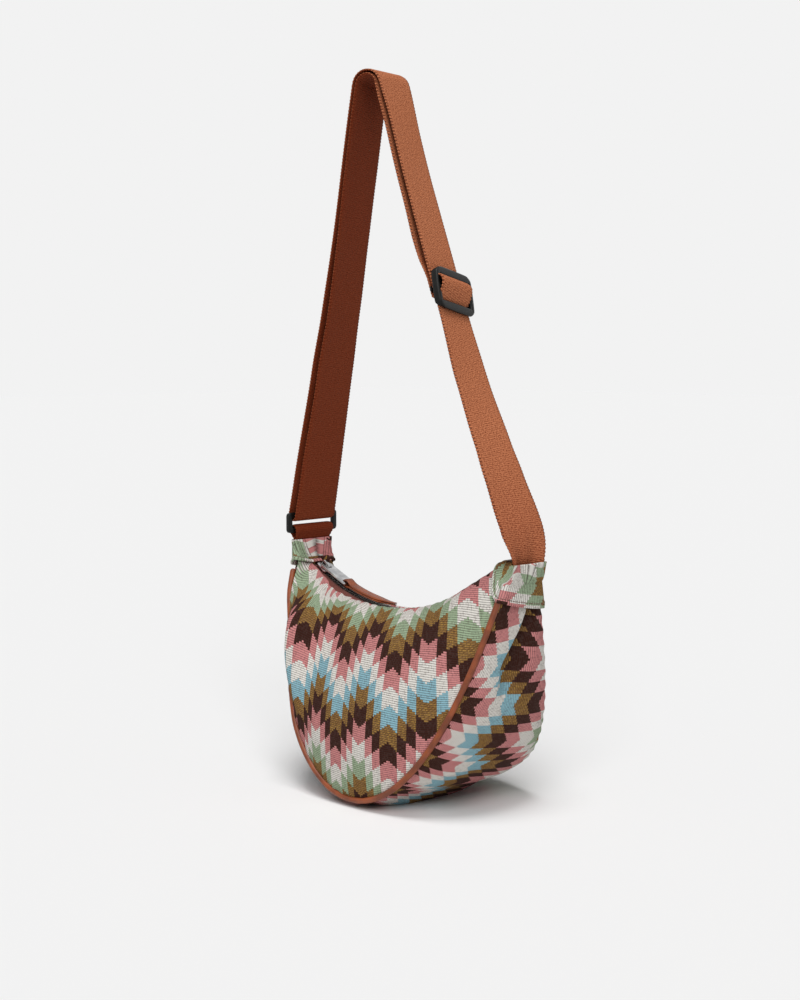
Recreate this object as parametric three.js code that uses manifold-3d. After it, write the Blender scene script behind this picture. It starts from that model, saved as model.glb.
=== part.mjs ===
// Crescent belt bag of zigzag jacquard, standing on its base with the shoulder strap held upright.
// Millimetres, +Z up, the front panel faces -Y and the left end is at -X.
import * as THREE from 'three';
import { mergeVertices } from 'three/addons/utils/BufferGeometryUtils.js';
import Module from 'manifold-3d';

const wasm = await Module();
wasm.setup();

// Cloth and clearances
const FABRIC_T = 2;
const GAP = 0.3;

// Depth that joined solids sink into each other, and the radius of small inside corners
const SINK = 0.1;
const SMALL_R = 0.4;

// Seams between the panels and the gusset: level at the base, then turning up to the bag's ends.
// The back seam is fuller at the sides and drawn in more at the ends.
const BASE_HALF_DEPTH = 63;
const BASE_SEAM_Z = 8;
const END_X = 104;
const END_Z = 162;
const FRONT_SEAM = { reach: 52, sideX: 95, sideDepth: 55, sideZ: 73, endDepth: 21 };
const BACK_SEAM = { reach: 70, sideX: 98, sideDepth: 50, sideZ: 50, endDepth: 16.5 };

// How far the stuffed gusset stands out from the seams, and the pleat at its top ends
const BASE_BULGE = 14;
const SIDE_BULGE = 13;
const END_BULGE = 6;
const PLEAT_DEPTH = 6.5;
const PLEAT_LENGTH = 75;
const PLEAT_TOP = 0.35;
const PLEAT_SLANT = 0.75;
const PLEAT_EDGE = 0.14;
const PLEAT_RELEASE = 0.6;

// Panels: how far the rounded shoulder and belly reach, as shares of the panel's drop, and the belly's lean
const SHOULDER_REACH = 0.28;
const SHOULDER_FALL = 0.15;
const BELLY_REACH = 0.4;
const BELLY_LEAN = 0.25;

// Leather piping in the front seam, ending below the end tabs
const PIPING_R = 2.5;
const PIPING_END = 15;
const PIPING_GAP = 0.5;
const BACK_SEAM_GAP = 0.8;
const CORNER_TRIM = 2;

// Zip: a circular arc that sags between the ends of the bag and runs out straight on the right.
// Its ends, and the end of its arc, are lengths along it from its lowest point.
const ZIP_R = 140;
const ZIP_LOW_X = -20;
const ZIP_LOW_Z = 131.5;
const ZIP_LEFT_L = 88;
const ZIP_RIGHT_L = 122.2;
const ZIP_ARC_L = 73.3;
const ZIP_HALF_GAP = 6.5;
const TAPE_T = 0.8;
const TAPE_LAP = 6;
const TAPE_END = 1.7;
const SLOT_HALF_W = 0.9;
const TEETH_HALF_W = 2.8;
const TEETH_H = 1.8;
const STOP_L = 2.5;

// Slider near the zip's left end, puller plate and leather pull tab
const SLIDER_END = 9;
const SLIDER_L = 11;
const SLIDER_HALF_W = 4.6;
const SLIDER_PLATE_T = 1.5;
const SLIDER_WEB_L = 8;
const SLIDER_CORNER_R = 2;
const BRIDGE_L = 8;
const BRIDGE_W = 2.4;
const BRIDGE_POST = 1.2;
const PULLER_L = 29;
const PULLER_W = 10;
const PULLER_T = 1.6;
const PULLER_BAR = 2.4;
const PULLER_RAIL = 1.3;
const PULLER_CORNER_R = 1.2;
const PULL_TAB_L = 50;
const PULL_TAB_W = 9.5;
const PULL_TAB_TIP_L = 10;
const PULL_TAB_TIP_W = 4;
const PULL_TAB_TIP_T = 0.6;
const PULL_TAB_T = 1.3;
const PULL_TAB_WRAP_DEG = 20;
const PULL_TAB_MEET = 2.5;
const PULLER_LIFT_DEG = 8;
const PULL_TAB_LIFT_DEG = 2;

// Webbing strap: from the right tab up to an arch, down to the ring and back as a second layer
const STRAP_W = 40;
const WEB_T = 1.5;
const TAB_X = 103;
const TAB_TOP_Z = 175;
const STRAP_INSERT = 3.5;
const LOOP_INSERT = 2.5;
const STRAP_KNEE = 14;
const STRAP_KNEE_OUT = 3;
const STRAP_CUP_DEG = 48;
const STRAP_CUP_LENGTH = 42;
const STRAP_BOW_X = 59;
const STRAP_BOW_Z = 287;
const STRAP_TOP_Z = 514;
const ARCH_X = -34;
const ARCH_R = 13;
const LAYER_SPACING = 3;
const RIGHT_TWIST_DEG = -15;
const LEFT_TWIST_DEG = 11;

// Black plastic ring above the left tab
const RING_X = 109;
const RING_Z = 188;
const RING_H = 15;
const RING_BAR = 4;
const RING_SIDE = 3.6;
const RING_T = 3.2;
const RING_CORNER_R = 2.5;
const WEB_SIDE_GAP = 0.6;
const LOOP_FOOT_W = 34;
const LOOP_WRAP_DEG = 25;

// Tri-glide adjuster on the right run
const GLIDE_Z = 357;
const GLIDE_H = 29;
const GLIDE_BAR = 5;
const GLIDE_SIDE = 3.4;
const GLIDE_T = 2.2;
const GLIDE_MID_BAR = 4;
const GLIDE_MID_T = 2.4;
const GLIDE_CORNER_R = 3;
const GLIDE_CHEEK_INSET = 0.2;
const GLIDE_CHEEK_LAP = 2;
const LOOP_TURN_DROP = 1;
const LOOP_TAIL = 30;
const LOOP_UP = 60;
const RETURN_END = 24;
const STRAIGHT_BELOW = 55;
const STRAIGHT_ABOVE = 85;

// End tabs: how much of the gusset and the zip they cover, their ease and how square their mouths are
const TAB_COVER = 13;
const TAB_EASE = 0.9;
const TAB_ZIP_COVER = 2.9;
const LEFT_MOUTH_POWER = 8;
const RIGHT_MOUTH_OUTER_POWER = 5;
const RIGHT_MOUTH_INNER_POWER = 2;

// Facets
const PANEL_STEPS = 32;
const PANEL_ROWS = 9;
const GUSSET_STEPS = 46;
const GUSSET_ROWS = 13;
const KNEE_STEPS = 5;
const RUN_STEPS = 16;
const ARCH_STEPS = 9;

const JACQUARD = { color: 0xc89a90, roughness: 0.9, metalness: 0 };
const LEATHER = { color: 0xa0521f, roughness: 0.5, metalness: 0 };
const WEBBING = { color: 0xa65a36, roughness: 0.85, metalness: 0 };
const PLASTIC = { color: 0x1c1c1e, roughness: 0.4, metalness: 0 };
const TAPE = { color: 0x5a2a20, roughness: 0.9, metalness: 0 };
const DARK_METAL = { color: 0x3a3230, roughness: 0.4, metalness: 0.9 };
const SILVER = { color: 0xd0d0d2, roughness: 0.25, metalness: 1 };

const vec = (x, y, z) => new THREE.Vector3(x, y, z);
const { lerp, smoothstep, degToRad } = THREE.MathUtils;

const bag = new THREE.Group();

function addMesh(name, geometry, look, parent = bag) {
  const mesh = new THREE.Mesh(geometry, new THREE.MeshStandardMaterial(look));
  mesh.name = name;
  parent.add(mesh);
  return mesh;
}

// Closed meshes from grids of points

function signedVolume(points, index) {
  let volume = 0;
  for (let i = 0; i < index.length; i += 3) {
    const [a, b, c] = [points[index[i]], points[index[i + 1]], points[index[i + 2]]];
    volume += a.dot(b.clone().cross(c)) / 6;
  }
  return volume;
}

function meshFrom(points, index) {
  if (signedVolume(points, index) < 0) {
    index.reverse();
  }
  const geometry = new THREE.BufferGeometry().setFromPoints(points);
  geometry.setIndex(index);
  geometry.computeVertexNormals();
  return geometry;
}

function makeGrid(steps, rows, pointAt) {
  const grid = [];
  for (let i = 0; i <= steps; i++) {
    const line = [];
    for (let j = 0; j <= rows; j++) {
      line.push(pointAt(i / steps, j / rows));
    }
    grid.push(line);
  }
  return grid;
}

// Normals of a grid, turned so that on the whole they point away from the middle
function gridNormals(grid, middle, wrap = false) {
  const rows = grid[0].length;
  const at = (i, j) => grid[Math.min(Math.max(i, 0), grid.length - 1)][
    wrap ? (j + rows) % rows : Math.min(Math.max(j, 0), rows - 1)];
  let facing = 0;
  const normals = grid.map((line, i) => line.map((point, j) => {
    const along = at(i + 1, j).clone().sub(at(i - 1, j));
    const across = at(i, j + 1).clone().sub(at(i, j - 1));
    const normal = along.cross(across).normalize();
    facing += normal.dot(point.clone().sub(middle));
    return normal;
  }));
  if (facing < 0) {
    normals.forEach((line) => line.forEach((normal) => normal.negate()));
  }
  return normals;
}

function offsetGrid(grid, normals, distance) {
  return grid.map((line, i) => line.map((p, j) => p.clone().addScaledVector(normals[i][j], distance)));
}

// One closed wall between two grids of the same size
function wallBetween(outer, inner, wrap = false) {
  const steps = outer.length;
  const rows = outer[0].length;
  const points = [...outer.flat(), ...inner.flat()];
  const first = steps * rows;
  const index = [];
  const quad = (a, b, c, d) => index.push(a, b, c, a, c, d);
  const lastRow = wrap ? rows : rows - 1;
  for (let j = 0; j < lastRow; j++) {
    const k = (j + 1) % rows;
    for (let i = 0; i < steps - 1; i++) {
      quad(i * rows + j, (i + 1) * rows + j, (i + 1) * rows + k, i * rows + k);
      const [low, high] = [first + i * rows, first + (i + 1) * rows];
      quad(low + k, high + k, high + j, low + j);
    }
    const end = (steps - 1) * rows;
    quad(j, k, first + k, first + j);
    quad(end + k, end + j, first + end + j, first + end + k);
  }
  if (!wrap) {
    for (let i = 0; i < steps - 1; i++) {
      const [a, b] = [i * rows, (i + 1) * rows];
      quad(b, a, first + a, first + b);
      quad(a + rows - 1, b + rows - 1, first + b + rows - 1, first + a + rows - 1);
    }
  }
  return meshFrom(points, index);
}

// A closed bar swept through a list of equal sections
function sweep(sections) {
  const sides = sections[0].length;
  const points = sections.flat();
  const index = [];
  for (let i = 0; i < sections.length - 1; i++) {
    for (let j = 0; j < sides; j++) {
      const k = (j + 1) % sides;
      const [a, b] = [i * sides + j, i * sides + k];
      index.push(a, b, b + sides, a, b + sides, a + sides);
    }
  }
  const last = (sections.length - 1) * sides;
  for (let j = 0; j < sides / 2 - 1; j++) {
    const k = sides - 1 - j;
    index.push(j, k, k - 1, j, k - 1, j + 1);
    index.push(last + j, last + k - 1, last + k, last + j, last + j + 1, last + k - 1);
  }
  return meshFrom(points, index);
}

function toSolid(geometry) {
  const bare = geometry.index ? geometry.clone() : geometry;
  bare.deleteAttribute('normal');
  bare.deleteAttribute('uv');
  const merged = mergeVertices(bare, 1e-4);
  return new wasm.Manifold(new wasm.Mesh({
    numProp: 3,
    vertProperties: new Float32Array(merged.attributes.position.array),
    triVerts: new Uint32Array(merged.index.array),
  }));
}

function joined(...geometries) {
  const solid = geometries.map(toSolid).reduce((sum, piece) => sum.add(piece));
  const mesh = solid.getMesh();
  const geometry = new THREE.BufferGeometry();
  geometry.setAttribute('position', new THREE.BufferAttribute(mesh.vertProperties, 3));
  geometry.setIndex(new THREE.BufferAttribute(mesh.triVerts, 1));
  geometry.computeVertexNormals();
  return geometry;
}

function roundedRect(width, height, radius, segments = 3) {
  const points = [];
  const corners = [[1, 1, 0], [-1, 1, 90], [-1, -1, 180], [1, -1, 270]];
  for (const [sx, sy, start] of corners) {
    for (let k = 0; k <= segments; k++) {
      const a = degToRad(start + 90 * k / segments);
      points.push(new THREE.Vector2(
        sx * (width / 2 - radius) + radius * Math.cos(a),
        sy * (height / 2 - radius) + radius * Math.sin(a)));
    }
  }
  return points;
}

// A flat plate of an outline with holes, from z = low to z = high
function plate(outline, holes, low, high) {
  const shape = new THREE.Shape(outline);
  shape.holes = holes.map((hole) => new THREE.Path(hole));
  const geometry = new THREE.ExtrudeGeometry(shape, { depth: high - low, bevelEnabled: false });
  return geometry.translate(0, 0, low);
}

function shifted(points, x, y) {
  return points.map((p) => new THREE.Vector2(p.x + x, p.y + y));
}

// Bag body

const BAG_MIDDLE = vec(0, 0, (BASE_SEAM_Z + ZIP_LOW_Z) / 2);

function seamCurve(seam, side) {
  return new THREE.CubicBezierCurve3(
    vec(0, side * BASE_HALF_DEPTH, BASE_SEAM_Z),
    vec(seam.reach, side * BASE_HALF_DEPTH, BASE_SEAM_Z),
    vec(seam.sideX, side * seam.sideDepth, seam.sideZ),
    vec(END_X, side * seam.endDepth, END_Z));
}

const frontSeam = seamCurve(FRONT_SEAM, -1);
const backSeam = seamCurve(BACK_SEAM, 1);
const SEAM_L = frontSeam.getLength();

// Seam point at u from -1, the left end, to 1, the right end, on the front (side -1) or back (side 1)
function seamPoint(u, side) {
  const p = (side < 0 ? frontSeam : backSeam).getPointAt(Math.abs(u));
  return vec(p.x * Math.sign(u), p.y, p.z);
}

// Direction out of the bag at u, square to both seams in the upright plane along the bag
function seamOutward(u) {
  const t = frontSeam.getTangentAt(Math.abs(u)).add(backSeam.getTangentAt(Math.abs(u)));
  return vec(t.z * Math.sign(u), 0, -t.x).normalize();
}

// Share of the seam taken up by a length measured down from a top end
const fromEnd = (length) => 1 - length / SEAM_L;

function gussetBulge(s) {
  const middle = 0.5;
  return s < middle
    ? lerp(BASE_BULGE, SIDE_BULGE, smoothstep(s, 0, middle))
    : lerp(SIDE_BULGE, END_BULGE, smoothstep(s, middle, 1));
}

// The pleat: behind a slanting edge the cloth is tucked in, and it is sewn down under the end tab
function pleatTuck(s, v) {
  const start = fromEnd(PLEAT_LENGTH);
  const rise = smoothstep(s, start, fromEnd(TAB_COVER)) * (1 - smoothstep(s, fromEnd(TAB_COVER), 1));
  const edge = PLEAT_TOP - PLEAT_SLANT * (1 - s) / (1 - start);
  const behind = smoothstep(v, edge, edge + PLEAT_EDGE);
  return PLEAT_DEPTH * rise * behind * smoothstep(1 - v, 0, PLEAT_RELEASE);
}

// Gusset point, with v from -1 at the front seam to 1 at the back seam. It lies flat on the floor.
function gussetPoint(u, v, tuck) {
  const s = Math.abs(u);
  const depth = gussetBulge(s) * (1 - Math.abs(v) ** 3) - (tuck ? pleatTuck(s, v) : 0);
  const p = seamPoint(u, -1).lerp(seamPoint(u, 1), (v + 1) / 2).addScaledVector(seamOutward(u), depth);
  return p.setZ(Math.max(0, p.z));
}

const ZIP_LEFT = -ZIP_LEFT_L / ZIP_R;
const ZIP_RIGHT = ZIP_RIGHT_L / ZIP_R;
const zipSlope = (angle) => Math.min(angle, ZIP_ARC_L / ZIP_R);

// Point of the zip at an angle of its arc, lifted square to it. Past the arc the angle runs on as a length.
function arcPoint(angle, y, lift = 0) {
  const slope = zipSlope(angle);
  const [c, s] = [Math.cos(slope), Math.sin(slope)];
  const r = ZIP_R - lift;
  const on = ZIP_R * (angle - slope);
  return vec(ZIP_LOW_X + r * s + on * c, y, ZIP_LOW_Z + ZIP_R - r * c + on * s);
}

const zipAngle = (u) => lerp(ZIP_LEFT, ZIP_RIGHT, (u + 1) / 2);
const zipShare = (angle) => 2 * (angle - ZIP_LEFT) / (ZIP_RIGHT - ZIP_LEFT) - 1;

// A panel's section at u: from the zip over the shoulder and down the belly to the seam
function panelCurve(u, side) {
  const top = arcPoint(zipAngle(u), side * ZIP_HALF_GAP);
  const bottom = seamPoint(u, side);
  const drop = top.distanceTo(bottom);
  const shoulder = vec(0, side, -SHOULDER_FALL).normalize();
  const belly = seamOutward(u).negate().addScaledVector(vec(0, side, 0), BELLY_LEAN).normalize();
  return new THREE.CubicBezierCurve3(
    top,
    top.clone().addScaledVector(shoulder, drop * SHOULDER_REACH),
    bottom.clone().addScaledVector(belly, drop * BELLY_REACH),
    bottom);
}

// Each panel stops short of its seam: the front one for the piping, the back one for the gusset's edge.
// Its corners are trimmed further, under the end tabs.
function panelMargin(u, side) {
  const seamGap = side < 0 ? PIPING_R + PIPING_GAP : FABRIC_T + BACK_SEAM_GAP;
  return seamGap + CORNER_TRIM * smoothstep(Math.abs(u), fromEnd(2 * TAB_COVER), 1);
}

// Point of a panel at u, with row from 0 at the zip to 1 at its lower edge
function panelPoint(u, row, side) {
  const curve = panelCurve(u, side);
  return curve.getPointAt(row * (1 - panelMargin(u, side) / curve.getLength()));
}

function panelGeometry(side) {
  const grid = makeGrid(PANEL_STEPS, PANEL_ROWS, (a, b) => panelPoint(lerp(-1, 1, a), b, side));
  const normals = gridNormals(grid, BAG_MIDDLE);
  return wallBetween(grid, offsetGrid(grid, normals, -FABRIC_T));
}

function gussetGeometry(frontMargin, backMargin) {
  const grid = makeGrid(GUSSET_STEPS, GUSSET_ROWS, (a, b) => {
    const u = lerp(-1, 1, a);
    const half = seamPoint(u, -1).distanceTo(seamPoint(u, 1)) / 2;
    return gussetPoint(u, lerp(-1 + frontMargin / half, 1 - backMargin / half, b), true);
  });
  const normals = gridNormals(grid, BAG_MIDDLE);
  return wallBetween(grid, offsetGrid(grid, normals, -FABRIC_T));
}

function pipingGeometry() {
  const steps = 52;
  const sides = 8;
  const end = fromEnd(PIPING_END);
  const path = [];
  for (let i = 0; i <= steps; i++) {
    path.push(seamPoint(lerp(-end, end, i / steps), -1));
  }
  const section = [];
  for (let k = 0; k < sides; k++) {
    const a = 2 * Math.PI * k / sides;
    section.push(new THREE.Vector2(PIPING_R * Math.cos(a), PIPING_R * Math.sin(a)));
  }
  return new THREE.ExtrudeGeometry(new THREE.Shape(section), {
    steps,
    bevelEnabled: false,
    extrudePath: new THREE.CatmullRomCurve3(path),
  });
}

addMesh('front_panel', panelGeometry(-1), JACQUARD);
addMesh('back_panel', panelGeometry(1), JACQUARD);
addMesh('gusset', gussetGeometry(PIPING_R + PIPING_GAP, 0), JACQUARD);
addMesh('front_piping', pipingGeometry(), LEATHER);

// Zip: tapes under the panels' edges, teeth on the tapes, with a slot that the slider's web runs in

const TAPE_TOP = -(FABRIC_T + GAP);
const TEETH_LOW = TAPE_TOP + GAP;
const TAPE_START = ZIP_LEFT + TAPE_END / ZIP_R;
const TAPE_STOP = ZIP_RIGHT - TAPE_END / ZIP_R;
const ARC_STEPS = 30;

// A strip along the zip's arc, between two distances from its middle and two heights
function arcStrip(start, end, y0, y1, low, high, steps) {
  const sections = [];
  for (let i = 0; i <= steps; i++) {
    const angle = lerp(start, end, i / steps);
    sections.push([
      arcPoint(angle, y0, low), arcPoint(angle, y1, low),
      arcPoint(angle, y1, high), arcPoint(angle, y0, high)]);
  }
  return sweep(sections);
}

// A tape lies flat beside the slot and follows the inside of its panel's edge, where it is sewn on
function tapeGeometry(side) {
  const sections = [];
  for (let i = 0; i <= ARC_STEPS; i++) {
    const angle = lerp(TAPE_START, TAPE_STOP, i / ARC_STEPS);
    const along = vec(Math.cos(zipSlope(angle)), 0, Math.sin(zipSlope(angle)));
    const u = zipShare(angle);
    const edge = panelPoint(u, 0, side);
    const down = panelPoint(u, 1 / PANEL_ROWS, side).sub(edge);
    const lap = Math.min(TAPE_LAP, down.length());
    down.normalize();
    const out = along.clone().cross(down).normalize();
    const under = (distance, depth) => edge.clone()
      .addScaledVector(down, distance)
      .addScaledVector(out, side * depth);
    const low = TAPE_TOP - TAPE_T;
    sections.push([
      arcPoint(angle, side * SLOT_HALF_W, TAPE_TOP), under(0, TAPE_TOP), under(lap, TAPE_TOP),
      under(lap, low), under(0, low), arcPoint(angle, side * SLOT_HALF_W, low)]);
  }
  return sweep(sections);
}

const STOP_ANGLE = STOP_L / ZIP_R;
const CHAIN_START = TAPE_START + STOP_ANGLE + GAP / ZIP_R;
const CHAIN_END = TAPE_STOP - STOP_ANGLE - GAP / ZIP_R;
for (const [name, side] of [['front', -1], ['back', 1]]) {
  addMesh(`zip_tape_${name}`, tapeGeometry(side), TAPE);
  addMesh(`zip_teeth_${name}`, arcStrip(CHAIN_START, CHAIN_END, side * SLOT_HALF_W, side * TEETH_HALF_W,
    TEETH_LOW, TEETH_LOW + TEETH_H, ARC_STEPS), DARK_METAL);
}
addMesh('zip_top_stop', arcStrip(TAPE_START, TAPE_START + STOP_ANGLE, -TEETH_HALF_W, TEETH_HALF_W,
  TEETH_LOW, TEETH_LOW + TEETH_H, 1), DARK_METAL);
addMesh('zip_bottom_stop', arcStrip(TAPE_STOP - STOP_ANGLE, TAPE_STOP, -TEETH_HALF_W, TEETH_HALF_W,
  TEETH_LOW, TEETH_LOW + TEETH_H, 1), DARK_METAL);

// Slider, puller and pull tab hang in one group at the slider's place on the arc.
// In it x runs along the zip, y across it and z out of the bag, from the zip's surface.

const SLIDER_ANGLE = ZIP_LEFT + SLIDER_END / ZIP_R;
const sliderGroup = new THREE.Group();
sliderGroup.position.copy(arcPoint(SLIDER_ANGLE, 0));
sliderGroup.rotation.y = -SLIDER_ANGLE;
bag.add(sliderGroup);

// A side profile in x and z, spread across y by a width
function acrossY(outline, holes, width) {
  return plate(outline, holes, -width / 2, width / 2).rotateX(Math.PI / 2);
}

const PLATE_LOW = GAP;
const PLATE_TOP = PLATE_LOW + SLIDER_PLATE_T;
const KEEL_TOP = TAPE_TOP - TAPE_T - GAP;
const BAR_TURN_R = Math.hypot(PULLER_T, PULLER_T) / 2 + GAP;
const HINGE_Z = PLATE_TOP + BAR_TURN_R;
const BRIDGE_TOP = HINGE_Z + BAR_TURN_R + BRIDGE_POST;

function sliderGeometry() {
  const web = SLOT_HALF_W - GAP;
  const body = roundedRect(SLIDER_L, 2 * SLIDER_HALF_W, SLIDER_CORNER_R);
  const top = plate(body, [], PLATE_LOW, PLATE_TOP);
  const keel = plate(body, [], KEEL_TOP - SLIDER_PLATE_T, KEEL_TOP);
  const post = plate(roundedRect(SLIDER_WEB_L, 2 * web, web / 2), [], KEEL_TOP - SINK, PLATE_LOW + SINK);
  const outline = [
    new THREE.Vector2(-BRIDGE_L / 2, PLATE_TOP - SINK),
    new THREE.Vector2(BRIDGE_L / 2, PLATE_TOP - SINK),
    new THREE.Vector2(BRIDGE_L / 2, BRIDGE_TOP - BRIDGE_POST),
    new THREE.Vector2(BRIDGE_L / 2 - BRIDGE_POST, BRIDGE_TOP),
    new THREE.Vector2(-BRIDGE_L / 2 + BRIDGE_POST, BRIDGE_TOP),
    new THREE.Vector2(-BRIDGE_L / 2, BRIDGE_TOP - BRIDGE_POST),
  ];
  const windowLow = PLATE_TOP - SINK / 2;
  const windowHigh = BRIDGE_TOP - BRIDGE_POST;
  const window = shifted(roundedRect(BRIDGE_L - 2 * BRIDGE_POST, windowHigh - windowLow, SMALL_R, 1),
    0, (windowHigh + windowLow) / 2);
  return joined(top, keel, post, acrossY(outline, [window], BRIDGE_W));
}

// Puller plate: its first bar turns under the bridge, and the leather loops round its last bar
const FIRST_BAR = PULLER_T / 2;
const LAST_BAR_X = PULLER_L - FIRST_BAR - PULLER_BAR / 2;
const LOOP_IN_R = Math.hypot(PULLER_BAR, PULLER_T) / 2 + GAP;
const LOOP_OUT_R = LOOP_IN_R + PULL_TAB_T;

function pullerGeometry() {
  const outline = shifted(roundedRect(PULLER_L, PULLER_W, PULLER_CORNER_R), PULLER_L / 2 - FIRST_BAR, 0);
  const eyeL = BRIDGE_L / 2 + 2 * GAP;
  const eye = shifted(roundedRect(eyeL, BRIDGE_W + 3 * GAP, SMALL_R, 1), FIRST_BAR + eyeL / 2, 0);
  const slotRight = LAST_BAR_X - PULLER_BAR / 2;
  const slotLeft = LAST_BAR_X - LOOP_OUT_R - GAP;
  const slot = shifted(roundedRect(slotRight - slotLeft, PULLER_W - 2 * PULLER_RAIL, SMALL_R, 1),
    (slotRight + slotLeft) / 2, 0);
  return plate(outline, [eye, slot], -PULLER_T / 2, PULLER_T / 2);
}

// Leather strip folded round the puller's last bar. Its layers meet, follow the zip's curve and end in a tip.
function pullTabGeometry() {
  const turn = 6;
  const wrap = degToRad(PULL_TAB_WRAP_DEG);
  const meetX = LOOP_OUT_R * PULL_TAB_MEET;
  const halfT = PULL_TAB_T + GAP / 2;
  const tipX = PULL_TAB_L - PULL_TAB_TIP_L;
  const bendX = [meetX, lerp(meetX, tipX, 1 / 3), lerp(meetX, tipX, 2 / 3), tipX];
  const outline = [];
  const eye = [];
  for (let k = 0; k <= turn; k++) {
    const a = lerp(Math.PI / 2 - wrap, 3 * Math.PI / 2 + wrap, k / turn);
    outline.push(new THREE.Vector2(LOOP_OUT_R * Math.cos(a), LOOP_OUT_R * Math.sin(a)));
    eye.push(new THREE.Vector2(LOOP_IN_R * Math.cos(a), LOOP_IN_R * Math.sin(a)));
  }
  eye.push(new THREE.Vector2(meetX - PULL_TAB_T, 0));
  outline.push(...bendX.map((x) => new THREE.Vector2(x, -halfT)));
  const tipHalfT = halfT * PULL_TAB_TIP_T;
  outline.push(new THREE.Vector2(PULL_TAB_L, -tipHalfT), new THREE.Vector2(PULL_TAB_L, tipHalfT));
  outline.push(...bendX.reverse().map((x) => new THREE.Vector2(x, halfT)));
  const loopW = PULLER_W - 2 * PULLER_RAIL - 2 * GAP;
  const geometry = acrossY(outline, [eye], 1);
  const position = geometry.attributes.position;
  for (let i = 0; i < position.count; i++) {
    const x = position.getX(i);
    const wide = x > tipX ? lerp(PULL_TAB_W, PULL_TAB_TIP_W, (x - tipX) / (PULL_TAB_L - tipX))
      : lerp(loopW, PULL_TAB_W, smoothstep(x, LOOP_OUT_R, meetX));
    position.setY(i, position.getY(i) * wide);
    position.setZ(i, position.getZ(i) + Math.max(0, x) ** 2 / (2 * ZIP_R));
  }
  return geometry;
}

addMesh('zip_slider', sliderGeometry(), SILVER, sliderGroup);
const puller = addMesh('zip_puller', pullerGeometry(), SILVER, sliderGroup);
puller.position.set(0, 0, HINGE_Z);
puller.rotation.y = -degToRad(PULLER_LIFT_DEG);
const pullTab = addMesh('leather_pull_tab', pullTabGeometry(), LEATHER, puller);
pullTab.position.set(LAST_BAR_X, 0, 0);
pullTab.rotation.y = -degToRad(PULL_TAB_LIFT_DEG);

// Strap route, as points in x and z with the direction of travel

const RING_TOP_BAR_Z = RING_Z + (RING_H - RING_BAR) / 2;
const RING_LOW_BAR_Z = RING_Z - (RING_H - RING_BAR) / 2;
const TURN_R = Math.hypot(RING_BAR, RING_T) / 2 + GAP + WEB_T / 2;
const ARCH_Z = STRAP_TOP_Z - WEB_T / 2 - ARCH_R;

// Outward normal of the line that touches a circle (c1, r1) and a circle (c2, r2) on one side
function touchingNormal(c1, r1, c2, r2, side) {
  const between = new THREE.Vector2().subVectors(c2, c1);
  const along = (r1 - r2) / between.length();
  const unit = between.normalize();
  const across = new THREE.Vector2(-unit.y, unit.x).multiplyScalar(side);
  return unit.multiplyScalar(along).addScaledVector(across, Math.sqrt(1 - along * along));
}

const archCentre = new THREE.Vector2(ARCH_X, ARCH_Z);
const kneePoint = new THREE.Vector2(TAB_X + STRAP_KNEE_OUT, TAB_TOP_Z + STRAP_KNEE);
const bowPoint = new THREE.Vector2(STRAP_BOW_X, STRAP_BOW_Z);
const ringTurn = new THREE.Vector2(-RING_X, RING_TOP_BAR_Z);
const rightNormal = touchingNormal(archCentre, ARCH_R, bowPoint, 0, 1);
const leftNormal = touchingNormal(archCentre, ARCH_R, ringTurn, TURN_R, -1);
const archRight = archCentre.clone().addScaledVector(rightNormal, ARCH_R);
const archLeft = archCentre.clone().addScaledVector(leftNormal, ARCH_R);
const ringLeft = ringTurn.clone().addScaledVector(leftNormal, TURN_R);
const rightUp = new THREE.Vector2().subVectors(archRight, bowPoint).normalize();
const glideAt = bowPoint.clone().lerp(archRight, (GLIDE_Z - bowPoint.y) / (archRight.y - bowPoint.y));

// Steps of the route, and the lengths along it where its pieces end
const route = [];
const pieceEnds = [];

function addRoute(curve, count) {
  for (let i = route.length ? 1 : 0; i <= count; i++) {
    const at = curve.getPoint(i / count);
    const length = route.length ? route.at(-1).length + at.distanceTo(route.at(-1).at) : 0;
    route.push({ at, way: curve.getTangent(i / count), length });
  }
  pieceEnds.push(route.at(-1).length);
}

const foot = new THREE.Vector2(TAB_X, TAB_TOP_Z - STRAP_INSERT);
const kneeUp = new THREE.Vector2().subVectors(bowPoint, kneePoint).normalize();
const kneeEnd = kneePoint.clone().addScaledVector(kneeUp, STRAP_KNEE);
const straightStart = glideAt.clone().addScaledVector(rightUp, -STRAIGHT_BELOW);
addRoute(new THREE.QuadraticBezierCurve(foot, kneePoint, kneeEnd), KNEE_STEPS);
addRoute(new THREE.QuadraticBezierCurve(kneeEnd, bowPoint, straightStart), RUN_STEPS / 2);
addRoute(new THREE.LineCurve(straightStart, archRight), RUN_STEPS / 2);
addRoute(new THREE.EllipseCurve(
  ARCH_X, ARCH_Z, ARCH_R, ARCH_R, rightNormal.angle(), leftNormal.angle()), ARCH_STEPS);
addRoute(new THREE.LineCurve(archLeft, ringLeft), RUN_STEPS);
const [, , archStart, archEnd, routeEnd] = pieceEnds;
const glideLength = archStart - archRight.distanceTo(glideAt);

// Twist of the strap about its own line: none at the tab and the ring, steady where the adjuster slides
const TWIST_KEYS = [
  [0, 0],
  [glideLength - STRAIGHT_BELOW, RIGHT_TWIST_DEG],
  [glideLength + STRAIGHT_ABOVE, RIGHT_TWIST_DEG],
  [(archStart + archEnd) / 2, 0],
  [(archEnd + routeEnd) / 2, LEFT_TWIST_DEG],
  [routeEnd, 0],
];

function alongKeys(keys, length) {
  const next = keys.findIndex(([at]) => at >= length);
  if (next <= 0) {
    return keys.at(next)[1];
  }
  const [[from, a], [to, b]] = [keys[next - 1], keys[next]];
  return lerp(a, b, smoothstep(length, from, to));
}

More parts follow.
